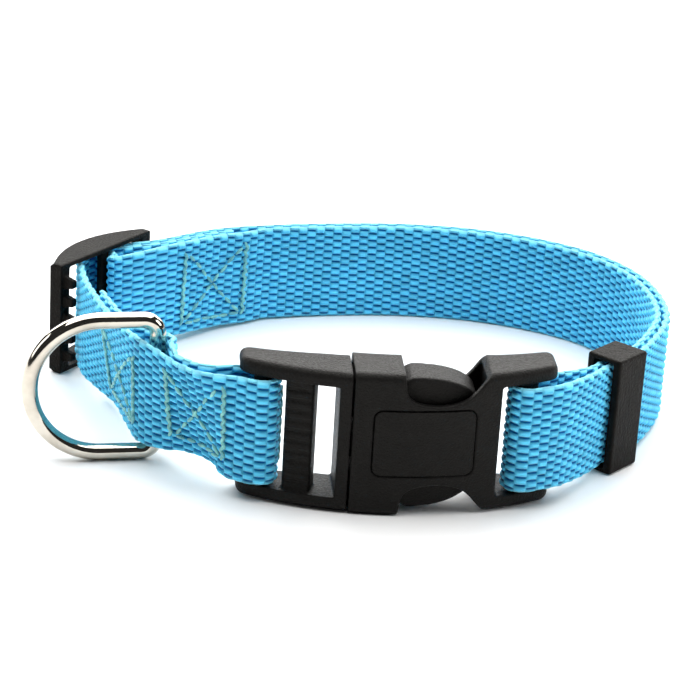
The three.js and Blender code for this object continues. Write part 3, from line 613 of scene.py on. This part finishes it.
# Relief of the weave at distances along and heights across, for one side
def weave(along, across, side):
    pitch = webbing["width"] / webbing["rows"]
    column = np.floor(along / webbing["column"] + tiny)
    u = along / webbing["column"] - column
    v = ((across + webbing["width"] / 2) / pitch + 0.5 * ((column + (side < 0)) % 2)
         + webbing["lean"] / 2 * (2 * u - 1))
    row = np.floor(v)
    v = v - row
    toSlit = np.minimum(v, 1 - v) / 0.5
    toNext = np.minimum(u, 1 - u) / 0.5
    opening = 0.35 + 0.65 * np.clip(toNext / 0.35, 0, 1) ** 0.7  # a slit closes towards the next column
    slit = np.exp(-((toSlit / webbing["slit"]) ** 2)) * opening
    roundness = np.sqrt(np.clip(1 - (1 - toSlit) ** 2.4, 0, 1)) * (1 - 0.35 * (1 - toNext) ** 3)
    key = np.sin(column * 12.9898 + row * 78.233 + side * 3.7) * 43758.5453  # one number for each yarn
    tone = key - np.floor(key)
    height = webbing["crown"] * roundness * (0.85 + 0.3 * tone) - webbing["groove"] * slit
    height -= webbing["dip"] * np.exp(-((toNext / webbing["meet"]) ** 2)) * (1 - slit)
    return height


# Heights of the mesh across the strap, denser at the slits
def weaveAcross():
    pitch = webbing["width"] / webbing["rows"]
    shares = (0, 0.12, 0.36, 0.5, 0.62, 0.86)
    places = [(row + share) * pitch for row in range(webbing["rows"]) for share in shares]
    return np.array(places + [webbing["width"]]) - webbing["width"] / 2


# Distances of the mesh along the strap, denser where columns meet
def weaveAlong(start, end):
    column = webbing["column"]
    first, last = round(start / column), round(end / column)
    places = [(c + share) * column for c in range(first, last) for share in (0.04, 0.2, 0.5, 0.8, 0.96)]
    return np.clip(np.array([first * column] + places + [last * column]), 0, ribbon["length"])


# A grid rolled into a flat tube: one side runs from the lower edge to the upper one, the other side back
def webbingPiece(name, start, end):
    along = weaveAlong(start, end)
    across = weaveAcross()
    half = len(across) - 1
    loop = 2 * half
    bm = bmesh.new()
    bmesh.ops.create_grid(bm, x_segments=len(along) - 1, y_segments=loop, size=1.0)
    flat = np.array([v.co[:2] for v in bm.verts])
    i = np.rint((flat[:, 0] + 1) / 2 * (len(along) - 1)).astype(int)
    j = np.rint((flat[:, 1] + 1) / 2 * loop).astype(int)
    side = np.where(j <= half, 1.0, -1.0)
    s, t = along[i], across[np.where(j <= half, j, loop - j)]
    edge = np.clip((np.abs(t) - (webbing["width"] / 2 - webbing["edge"])) / webbing["edge"], 0, 1)
    thick = (webbing["half"] + weave(s, t, side)) * np.sqrt(1 - edge**2)
    drawn = 1 - webbing["draw"] * np.cos(2 * np.pi * s / webbing["column"]) * edge
    middle, _, up, out = ribbonFrames(along)
    spots = middle[i] + up[i] * (t * drawn)[:, None] + out[i] * (side * thick)[:, None]
    uv = bm.loops.layers.uv.new("weave")
    # mask for the painted highlight along both edges of the strap
    edgeHighlightMask = bm.verts.layers.float.new("edgeHighlightMask")
    for k, v in enumerate(bm.verts):
        v.co = spots[k] * mm
        v[edgeHighlightMask] = edge[k]
    bm.verts.index_update()
    for face in bm.faces:
        for corner in face.loops:
            k = corner.vert.index
            back = 0.5 / webbing["rows"] * (side[k] < 0)  # yarns of the back lie between those of the front
            corner[uv].uv = (s[k] / webbing["width"], t[k] / webbing["width"] + 0.5 + back)
    bmesh.ops.remove_doubles(bm, verts=bm.verts, dist=1e-7)
    bmesh.ops.holes_fill(bm, edges=[e for e in bm.edges if e.is_boundary], sides=0)
    bmesh.ops.recalc_face_normals(bm, faces=bm.faces)
    piece = newObject(name, bm)
    smoothFaces(piece)
    print(f"{name}: {len(piece.data.polygons)} faces, {end - start:.0f} mm")
    return piece


def webbingMaterial():
    material, tree, shader = newMaterial("blue_webbing")

    def times(share=None):
        return addNode(tree, "ShaderNodeMath", {1: share} if share else None, operation="MULTIPLY")

    def spread(ends):
        return addNode(tree, "ShaderNodeMapRange", {"To Min": ends[0], "To Max": ends[1]})

    uv = addNode(tree, "ShaderNodeUVMap", uv_map="weave")
    threads = placeGroup(tree, yarn, {"Fineness": webbing["fineness"]})
    bricks = placeGroup(tree, weaveBricks,
                        {"Columns": webbing["width"] / webbing["column"], "Rows": webbing["rows"]})
    # painted shade: the yarn colour darkens to the deep colour in the slit between two yarns
    colour = ramp(tree, [(0.0, webbing["lit"]), (0.3, webbing["middle"]), (1.0, webbing["deep"])])
    varied = addNode(tree, "ShaderNodeHueSaturation")
    toneShare, fleckShare = times(webbing["toneShare"]), times(1 - webbing["toneShare"])
    threadRise, edgeShare, shaded = times(webbing["threadRise"]), times(webbing["edgeHighlightShare"]), times()
    both, relief = (addNode(tree, "ShaderNodeMath", operation="ADD") for _ in range(2))
    # tone of each yarn at random, and painted shade at its rim with a painted highlight at its middle
    lift, rimShadeCrownHighlight = spread(webbing["tones"]), spread(webbing["rimShadeCrownHighlight"])
    # painted highlight along both edges of the strap
    border = addNode(tree, "ShaderNodeAttribute", attribute_name="edgeHighlightMask")
    edged = addNode(tree, "ShaderNodeMix", data_type="RGBA")
    edged.inputs["B"].default_value = (*webbing["edgeHighlight"], 1)
    bump = addNode(tree, "ShaderNodeBump", webbing["bump"])
    # tone of each yarn, painted shade in its slit, and painted shade and highlight from its roundness
    wire(tree, (uv, "UV", threads, "Vector"), (uv, "UV", bricks, "Vector"), (bricks, "Slit", colour, "Fac"),
         (bricks, "Tone", toneShare, 0), (threads, "Fleck", fleckShare, 0), (toneShare, 0, both, 0),
         (fleckShare, 0, both, 1), (both, 0, lift, "Value"), (colour, "Color", varied, "Color"),
         (bricks, "Height", rimShadeCrownHighlight, "Value"), (rimShadeCrownHighlight, "Result", shaded, 0), (lift, "Result", shaded, 1),
         (shaded, 0, varied, "Value"))
    # painted highlight along both edges, then the bumps
    wire(tree, (varied, "Color", edged, "A"), (border, "Fac", edgeShare, 0), (edgeShare, 0, edged, "Factor"),
         (edged, "Result", shader, "Base Color"), (threads, "Height", threadRise, 0), (threadRise, 0, relief, 0),
         (bricks, "Height", relief, 1), (relief, 0, bump, "Height"), (bump, "Normal", shader, "Normal"))
    setSockets(shader, webbing["sockets"])
    return material


blueWebbing = webbingMaterial()
webbingRuns = [
    ("webbing_inner", 0.0, atKeeper[0]),
    ("webbing_socket", atKeeper[0], atKeeper[-1]),
    ("webbing_outer", atKeeper[-1], atSlider[-1]),
    ("webbing_front", atSlider[-1], ribbon["length"]),
]
for name, start, end in webbingRuns:
    piece = webbingPiece(name, start, end)
    piece.data.materials.append(blueWebbing)
    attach(piece, "collar")
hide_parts("strap")


# Stitches: boxes sewn through two layers, from start to end along the strap and from low to high across it
stitch = {
    "length": 2.2, "gap": 0.3, "width": 0.7, "thick": 0.62, "lift": 0.92, "liftShake": 0.4,
    "barStep": 0.85, "barTilt": 28, "barShare": 0.85,  # dense zigzag across the strap, of shorter stitches
    "inset": (0.8, 0.4),  # of the cross from the box
    "endMargin": 1.5, "jitter": 0.1, "seed": 7,
    "plugBar": (-16.5, -45.1), "plugReach": 5,  # where the strap turns back round the buckle's bar
}
threadLook = {
    "colour": (0.07, 0.34, 0.4), "patchColour": (0.26, 0.7, 0.64), "grain": 1300.0, "patch": 500.0,
    "strength": 0.8, "bump": 0.00012, "sockets": {"Roughness": 0.5, "Sheen Weight": 0.3},
}
stitchBoxes = [
    {"start": 51.2, "end": 67.2, "low": -7.4, "high": 7.6},
    {"start": 485.8, "end": 504.0, "low": -6.4, "high": 6.2},
    {"start": 513.0, "end": 526.2, "low": -6.2, "high": 7.6},
]


def stitchLine(bm, start, end, tilt, step, chance):
    run = math.dist(start, end)
    count = max(2, round(run / step))
    angle = math.atan2(end[1] - start[1], end[0] - start[0])
    for k in range(count):
        share = (k + 0.5) / count
        shake = chance.uniform(-1, 1, 4) * stitch["jitter"]
        s = start[0] + (end[0] - start[0]) * share + shake[0]
        t = start[1] + (end[1] - start[1]) * share + shake[1]
        lean = angle + math.radians(tilt * (1 if k % 2 else -1)) + shake[2]
        middle, forward, up, out = (part[0] for part in ribbonFrames([s]))
        way = forward * math.cos(lean) + up * math.sin(lean)
        spot = middle + up * t + out * (stitch["lift"] + stitch["liftShake"] * shake[3])
        long = stitch["length"] * (stitch["barShare"] if tilt else 1) * (1 + shake[3])
        turned = np.eye(4)
        turned[:3, 0] = np.cross(out, way) * stitch["width"]
        turned[:3, 1] = out * stitch["thick"]
        turned[:3, 2] = way * long
        turned[:3, 3] = spot
        turned[:3] *= mm
        bmesh.ops.create_uvsphere(bm, u_segments=8, v_segments=7, radius=0.5, matrix=Matrix(turned.tolist()))


def makeStitches():
    chance = np.random.default_rng(stitch["seed"])
    bm = bmesh.new()
    inS, inT = stitch["inset"]
    step = stitch["length"] + stitch["gap"]
    plugBar = ribbonPasses(stitch["plugBar"], stitch["plugReach"])[0]
    for row in stitchBoxes:
        start, end, low, high = row["start"], row["end"], row["low"], row["high"]
        sides = [(start, end)]
        if start > plugBar / 2:  # also on the layer that is folded back
            sides.append((2 * plugBar - end, 2 * plugBar - start))
        for first, last in sides:
            last = min(last, ribbon["length"] - stitch["endMargin"])
            for s in (first, last):
                stitchLine(bm, (s, low), (s, high), stitch["barTilt"], stitch["barStep"], chance)
            for t, nextT in ((low + inT, high - inT), (high - inT, low + inT), (low, low)):
                stitchLine(bm, (first + inS, t), (last - inS, nextT), 0, step, chance)
    piece = newObject("stitches", bm)
    smoothFaces(piece)
    print(f"stitches: {len(piece.data.polygons)} faces, plug bar at {plugBar:.1f} mm")
    return piece


stitchPiece = makeStitches()
stitchPiece.data.materials.append(grainedMaterial("sewing_thread", threadLook))
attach(stitchPiece, "collar")


# Black plastic
plasticLook = {
    "buckle": {"colour": (0.0012, 0.0012, 0.0012), "patchColour": (0.003, 0.0028, 0.0026), "gloss": (0.2, 0.76),
               "grain": 3000.0, "bump": 0.00026, "shine": 0.17},
    "glide": {"colour": (0.0035, 0.003, 0.0026), "patchColour": (0.0085, 0.0072, 0.006), "gloss": (0.25, 0.8),
              "grain": 2500.0, "bump": 0.0003, "shine": 0.07},
    "keeper": {"colour": (0.0035, 0.003, 0.0026), "patchColour": (0.0085, 0.0072, 0.006), "gloss": (0.2, 0.7),
               "grain": 2400.0, "bump": 0.0003, "shine": 0.06},
}
plastics = {}
for name, look in plasticLook.items():
    common = {"patch": 220.0, "strength": 0.8, "glossFrom": "Height",
              "sockets": {"Specular IOR Level": look["shine"], "Specular Tint": (1, 0.97, 0.92, 1)}}
    plastics[name] = grainedMaterial(name + "_plastic", {**look, **common})


# Buckle
buckle = {
    "centre": (7.667, -44.746), "yaw": 5.3, "rise": 13.4154,
    "bend": 52.0,  # radius of the curve through its middle
    "front": 5.5,  # from that curve to its face
    "depth": 11.0, "endDepth": 9.3, "rails": 26.2, "height": 26.8, "corner": 1.35, "frontCorner": 1.6,
    "slot": 21.0, "slotCorner": 0.8,
    "mouth": 0.55,  # how much wider a slot is behind its strap bar
    "barRecess": 0.4, "barDepth": 3.0, "barRound": 0.42,
    "barReach": 0.9,  # of a bar into the rails
    "past": 3.0,  # a slot's cut runs this far past the end
}
plug = {
    "start": -26.5, "frame": 18.6, "wall": 2.0, "slotWidth": 4.3, "backCorner": 1.9, "cutDeep": 9.0,
    "back": [(0, 0.72), (0.12, 0.78), (0.3, 0.86), (0.5, 0.95), (0.75, 1.05), (1, 1.1)],  # depth, in end depths
    "barInset": 2.0, "barWidth": 2.4,
    "frictionWidth": 4.8, "frictionRecess": 1.0, "frictionDepth": 4.0, "frictionCorner": 0.5,
    "ribs": 11, "ribWidth": 0.84, "ribRise": 0.22, "ribRoot": 1.0, "ribInset": 0.3, "ribMargin": 1.6,
    "prong": 5.6, "prongRoot": 1.0, "lip": 0.35, "guide": 3.0, "prongGrid": 0.28, "prongSoftness": 16,
    "belly": [(0.9, 0.75), (0.5, 1)],  # inner edge of a prong, in its lengths and widths
    "grid": 0.25, "softness": 3,
}
socket = {
    "length": 34.1, "seam": 0.3, "wall": 1.4, "collar": 7.9, "endWall": 2.6, "backCorner": 1.8, "cutDeep": 12.0,
    "back": [(0, 11), (0.5, 11), (0.62, 10.83), (0.7, 10.07), (0.8, 9.4), (0.91, 8.7), (1, 8.0)],  # depth in mm
    "window": 14.3, "windowDepth": 5.8, "shoulder": 0.8, "tip": 2.2,
    "swelled": 0.3,  # share of the window that the higher body reaches
    "barInset": 3.0, "barWidth": 3.4, "slotWidth": 3.8,
    "gap": 0.35,  # between the prongs and the socket
    "past": 2.0,  # its other cuts run this far past the body
    "grid": 0.26, "softness": 3,
}
panel = {
    "low": (-4.2, -5.6), "high": (12.0, 6.6), "corner": 1.4, "groove": 0.24, "deep": 0.5, "thick": 0.7,
    "edge": 0.1, "strip": 0.8, "sharp": 15,
}
# Edge of a window and top of a prong, in shares of their length and depth
windowTable = [(0, 0), (0.03, 0.6), (0.11, 0.86), (0.28, 1), (0.5, 1), (0.68, 0.87), (0.8, 0.62), (0.9, 0.3),
               (1, 0)]
shoulderTable = [(0, 0), (0.3, 0.04), (0.55, 0.15), (0.75, 0.33), (0.92, 0.6), (1, 0.85)]
plugEnd = plug["start"] + plug["frame"]
socketStart = plugEnd + socket["seam"]
socketEnd = socketStart + socket["length"]
windowStart = socketStart + socket["collar"]
windowEnd = windowStart + socket["window"]
cavityHalf = buckle["height"] / 2 - socket["wall"]


# Flat buckle points are (along, inwards, up); this rolls them onto the bend and sets them down
def bentBuckle(points):
    bend, front = buckle["bend"], buckle["front"]
    turn = points[:, 0] / bend
    across = (bend + front) * np.sin(turn)
    inwards = bend - (bend + front) * np.cos(turn) + front + points[:, 1]
    return setDown(np.stack([across, inwards, points[:, 2]], 1), buckle["centre"], buckle["yaw"], buckle["rise"])


# Bars follow the bend squarely, so their flat points are moved to where the bent ones will stand
def squareToBend(bm):
    bend, front = buckle["bend"], buckle["front"]
    for v in bm.verts:
        turn, radius = v.co.x / bend, bend - v.co.y
        across, inwards = radius * math.sin(turn), bend - radius * math.cos(turn)
        turn = math.asin(across / (bend + front))
        v.co.x = bend * turn
        v.co.y = inwards - bend + (bend + front) * math.cos(turn) - front
    return bm


def buckleBar(middle, width, recess, depth, corner):
    front, reach = -buckle["front"] + recess, buckle["slot"] / 2 + buckle["barReach"]
    low, high = (middle - width / 2, front, -reach), (middle + width / 2, front + depth, reach)
    return squareToBend(block(low, high, allCorners(corner)))


# Round bar that the webbing is folded round
def strapBar(middle, width):
    depth = buckle["barDepth"]
    return buckleBar(middle, width, buckle["barRecess"], depth, min(width, depth) * buckle["barRound"])


# A slot is wider above and below behind its strap bar
def slotMouth(low, high):
    barBack = -buckle["front"] + buckle["barRecess"] + buckle["barDepth"] / 2
    reach = buckle["slot"] / 2 + buckle["mouth"]
    return block((low, barBack, -reach), (high, buckle["depth"], reach))


# Ribs of the friction bar, which grip the webbing
def makeRibs(middle):
    face, halfWidth = -buckle["front"] + plug["frictionRecess"], plug["ribWidth"] / 2
    ribs = []
    for k in range(plug["ribs"]):
        z = (k - (plug["ribs"] - 1) / 2) * (buckle["slot"] - plug["ribMargin"]) / (plug["ribs"] - 1)
        low = (middle - plug["frictionWidth"] / 2 + plug["ribInset"], face - plug["ribRise"], z - halfWidth)
        high = (middle + plug["frictionWidth"] / 2 - plug["ribInset"], face + plug["ribRoot"], z + halfWidth)
        ribs.append(squareToBend(block(low, high)))
    return ribs


# Upper and lower prong, and the guide between them
def makeProngs():
    gap, shoulder = socket["gap"], socket["shoulder"]
    arm, root, start = cavityHalf - gap, plugEnd - plug["prongRoot"], windowStart + 2 * gap
    length = socket["window"] - 2 * gap - socket["tip"]
    fall = socket["windowDepth"] - shoulder
    face = -buckle["front"] + socket["wall"] + gap
    back = buckle["depth"] - buckle["front"] - socket["wall"] - gap
    top = [(start + a * length, arm + shoulder - f * fall) for a, f in eased(shoulderTable, 4)]
    top[0] = (start, arm + shoulder - plug["lip"])
    belly = [(start + length * a, arm - plug["prong"] * d) for a, d in plug["belly"]]
    outline = spaced([(root, arm), (start - 0.01, arm)] + top + belly + [(root, arm - plug["prong"])])
    solids = []
    for side in (1, -1):
        flat = prism([(a, side * b) for a, b in outline], face, back, elevation)
        solids.append(softened(flat, plug["prongGrid"], plug["prongSoftness"]))
    half = plug["guide"] / 2
    return solids + [block((root, face, -half), (windowEnd - socket["tip"], back, half))]


def makePlug():
    start, front, slotHalf = plug["start"], -buckle["front"], buckle["slot"] / 2
    back = [(start + a * plug["frame"], front + d * buckle["endDepth"]) for a, d in plug["back"]]
    outline = [(start, front), (plugEnd, front)] + back[::-1]
    corners = {back[0]: plug["backCorner"], (start, front): buckle["frontCorner"]}
    body = planBlock(outline, buckle["rails"] / 2, corners, buckle["corner"], plugEnd)
    barMiddle = start + plug["barInset"] + plug["barWidth"] / 2
    frictionMiddle = plugEnd - plug["wall"] - plug["slotWidth"] - plug["frictionWidth"] / 2
    friction = buckleBar(frictionMiddle, plug["frictionWidth"], plug["frictionRecess"], plug["frictionDepth"],
                         plug["frictionCorner"])
    bars = [strapBar(barMiddle, plug["barWidth"]), friction]
    cutStart, deep, rounding = start - buckle["past"], plug["cutDeep"], buckle["slotCorner"]
    slot = block((cutStart, -deep, -slotHalf), (plugEnd - plug["wall"], deep, slotHalf),
                 {(1, 1): rounding, (1, -1): rounding})
    body = withCuts(body, [slot, slotMouth(cutStart, barMiddle)])
    return moulded("buckle_plug", [body] + bars + makeRibs(frictionMiddle) + makeProngs(), plug, bentBuckle)


def makeSocket():
    front, depth, half = -buckle["front"], buckle["depth"], buckle["height"] / 2
    slotHalf, wall, deep, past = buckle["slot"] / 2, socket["wall"], socket["cutDeep"], socket["past"]
    bodyEnd = windowStart + socket["swelled"] * socket["window"]
    body = block((socketStart, front, -half), (bodyEnd, front + depth, half), rim=buckle["corner"],
                 seam=socketStart)
    back = [(socketStart + a * socket["length"], front + d) for a, d in socket["back"]]
    outline = [(socketStart, front), (socketEnd, front)] + back[::-1]
    corners = {back[-1]: socket["backCorner"], (socketEnd, front): buckle["frontCorner"]}
    tail = planBlock(outline, buckle["rails"] / 2, corners, buckle["corner"], socketStart)
    slotStart = socketEnd - socket["barInset"] - socket["barWidth"] - socket["slotWidth"]
    cavity = block((socketStart - past, front + wall, -cavityHalf),
                   (slotStart - socket["endWall"], front + depth - wall, cavityHalf))
    rim = [(windowStart + a * socket["window"], half - d * socket["windowDepth"])
           for a, d in eased(windowTable, 5)]
    rim = spaced([(windowStart, half + past)] + rim + [(windowEnd, half + past)])
    windows = [prism([(a, side * b) for a, b in rim], -deep, deep, elevation) for side in (1, -1)]
    cutEnd, rounding = socketEnd + buckle["past"], buckle["slotCorner"]
    slot = block((slotStart, -deep, -slotHalf), (cutEnd, deep, slotHalf), {(-1, 1): rounding, (-1, -1): rounding})
    barMiddle = socketEnd - socket["barInset"] - socket["barWidth"] / 2
    groove = panel["groove"]
    low, high = [v - groove for v in panel["low"]], [v + groove for v in panel["high"]]
    recess = prism(roundedOutline(low, high, panel["corner"] + groove), front - 1, front + panel["deep"],
                   elevation)
    body = withCuts(combined(body, "UNION", tail),
                    [cavity, *windows, slot, slotMouth(barMiddle, cutEnd), recess])
    return moulded("buckle_socket", [body, strapBar(barMiddle, socket["barWidth"])], socket, bentBuckle)


# Bare plate that fills the recess in the socket's face, so that only a groove shows round it
def makePanel():
    front, outline = -buckle["front"], roundedOutline(panel["low"], panel["high"], panel["corner"])
    bm = prism(outline, front, front + panel["thick"], elevation)
    rims = edgesWhere(bm, lambda a, b: abs(a.y - front) < tiny and abs(b.y - front) < tiny)
    bevelEdges(bm, rims, panel["edge"], 2)
    for x in np.arange(math.ceil(panel["low"][0]), panel["high"][0], panel["strip"]):
        bmesh.ops.bisect_plane(bm, geom=bm.verts[:] + bm.edges[:] + bm.faces[:], plane_co=(x, 0, 0),
                               plane_no=(1, 0, 0))
    placed = bentBuckle(np.array([v.co[:] for v in bm.verts])) * mm
    for v, spot in zip(bm.verts, placed):
        v.co = spot
    bmesh.ops.recalc_face_normals(bm, faces=bm.faces)
    piece = newObject("buckle_panel", bm)
    smoothFaces(piece)
    piece.data.set_sharp_from_angle(angle=math.radians(panel["sharp"]))
    return piece


plugPiece, socketPiece, panelPiece = makePlug(), makeSocket(), makePanel()
for piece in (plugPiece, socketPiece, panelPiece):
    piece.data.materials.append(plastics["buckle"])
    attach(piece, "collar")
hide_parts("male_buckle")
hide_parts("female_buckle")


# Slider
slider = {
    "centre": (-52.336, 17.190), "angle": 57.8, "rise": 11.4654,
    "length": 28.0, "arch": 4.6, "archSteps": 12, "rail": 0.95, "slot": 20.8,
    "endBar": 2.8, "endDepth": 2.0,
    "centreBar": 2.4, "centreDepth": 1.6, "centreCorner": 0.6, "setBack": 1.0,
    "teeth": 5, "toothLength": 2.3, "toothWidth": 3.0, "toothPitch": 3.8, "toothRoot": 1.0,
    "grid": 0.2, "softness": 7,
}


def setSlider(points):
    return setDown(points, slider["centre"], slider["angle"], slider["rise"])


def makeSlider():
    row = slider
    half, inside, steps = row["length"] / 2, row["slot"] / 2, row["archSteps"]
    outside, reach = inside + row["rail"], inside + row["rail"] / 2
    arch = [(half * (1 - k / steps), row["arch"] * (1 - (1 - k / steps) ** 2)) for k in range(2 * steps + 1)]
    crescent = spaced([(-half, -row["endDepth"]), (half, -row["endDepth"])] + arch)
    solids = [prism(crescent, side * inside, side * outside, plan) for side in (1, -1)]
    endOut = row["arch"] * (1 - ((half - row["endBar"]) / half) ** 2) / 2
    for side in (-1, 1):
        low, high = sorted((side * half, side * (half - row["endBar"])))
        solids.append(block((low, -row["endDepth"], -reach), (high, endOut, reach)))
    solids.append(block((-row["centreBar"] / 2, -row["setBack"] - row["centreDepth"] / 2, -reach),
                        (row["centreBar"] / 2, -row["setBack"] + row["centreDepth"] / 2, reach),
                        allCorners(row["centreCorner"])))
    root, tip, width = -row["toothRoot"], -row["endDepth"] - row["toothLength"], row["toothWidth"]
    for k in range(row["teeth"]):
        z = (k - (row["teeth"] - 1) / 2) * row["toothPitch"]
        wedge = [(root, z - width / 2), (tip, z - width / 4), (tip, z + width / 4), (root, z + width / 2)]
        solids.append(prism(wedge, -half + row["endBar"] / 4, -half + row["endBar"] * 3 / 4, endOn))
    return moulded("slider", solids, row, setSlider)


sliderPiece = makeSlider()
sliderPiece.data.materials.append(plastics["glide"])
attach(sliderPiece, "collar")
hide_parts("tri_glide")


# Keeper
keeper = {
    "centre": (47.433, -22.059), "angle": 50.2, "rise": 11.4154,
    "length": 8.6, "gap": 4.15, "face": 1.6, "edge": 0.9, "slot": 20.8, "upright": 0.45, "corner": 0.9,
    "grid": 0.17, "softness": 3,
}


def setKeeper(points):
    return setDown(points, keeper["centre"], keeper["angle"], keeper["rise"])


def makeKeeper():
    row = keeper
    length, gap, slot = row["length"], row["gap"] / 2, row["slot"] / 2
    depth, high = gap + row["face"], slot + row["edge"]
    body = block((-length / 2, -depth, -high), (length / 2, depth, high), allCorners(row["upright"]),
                 row["corner"])
    hole = block((-length, -gap, -slot), (length, gap, slot))
    return moulded("keeper_loop", [withCuts(body, [hole])], row, setKeeper)


keeperPiece = makeKeeper()
keeperPiece.data.materials.append(plastics["keeper"])
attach(keeperPiece, "collar")
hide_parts("keeper")


# Lead ring
ring = {
    "centre": (-36.052, -31.565), "angle": 192.0, "rise": 14.3154,
    "wire": 3.0, "height": 28.6, "reach": 25.8,
    "corner": 2.6, "barShare": 0.6, "cornerSteps": 10, "bowSteps": 64, "roundness": 7,
}
nickelLook = {
    "colour": (0.62, 0.58, 0.51), "patchColour": (0.42, 0.38, 0.32), "grain": 900.0, "patch": 90.0,
    "strength": 0.3, "bump": 0.00004, "gloss": (0.05, 0.16), "glossFrom": "Mask", "sockets": {"Metallic": 1.0},
}


def arcPoints(x, y, radius, start, end, steps):
    turns = [math.radians(start + (end - start) * k / steps) for k in range(steps + 1)]
    return [(x + radius * math.cos(turn), y + radius * math.sin(turn)) for turn in turns]


# Middle of the wire: the straight bar stands at the origin and the bow reaches out along X
def ringPath():
    half, reach = (ring["height"] - ring["wire"]) / 2, ring["reach"] - ring["wire"]
    corner, steps = ring["corner"], ring["cornerSteps"]
    bar = (half - corner) * ring["barShare"]
    path = [(0, 0), (0, bar)]
    path += arcPoints(corner, half - corner, corner, 180, 90, steps)
    path += arcPoints(reach - half, 0, half, 90, -90, ring["bowSteps"])
    path += arcPoints(corner, corner - half, corner, -90, -180, steps)
    return path + [(0, -bar)]


def makeRing():
    path = ringPath()
    curve = bpy.data.curves.new("ring_wire", "CURVE")
    curve.dimensions = "3D"
    line = curve.splines.new("POLY")
    line.points.add(len(path) - 1)
    for point, (a, b) in zip(line.points, path):
        point.co = (a * mm, 0, b * mm, 1)
    line.use_cyclic_u = True
    curve.bevel_depth, curve.bevel_resolution = ring["wire"] / 2 * mm, ring["roundness"]
    bentWire = intoScene("ring_wire", curve)
    mesh = finishedMesh(bentWire)
    bpy.data.objects.remove(bentWire)
    moved = Matrix.Translation(Vector((*ring["centre"], ring["rise"])) * mm)
    mesh.transform(moved @ Matrix.Rotation(math.radians(ring["angle"]), 4, "Z"))
    piece = intoScene("lead_ring", mesh)
    smoothFaces(piece)
    return piece


ringPiece = makeRing()
ringPiece.data.materials.clear()
ringPiece.data.materials.append(grainedMaterial("nickel", nickelLook))
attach(ringPiece, "ring")
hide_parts("d_ring")
print("ring ready")
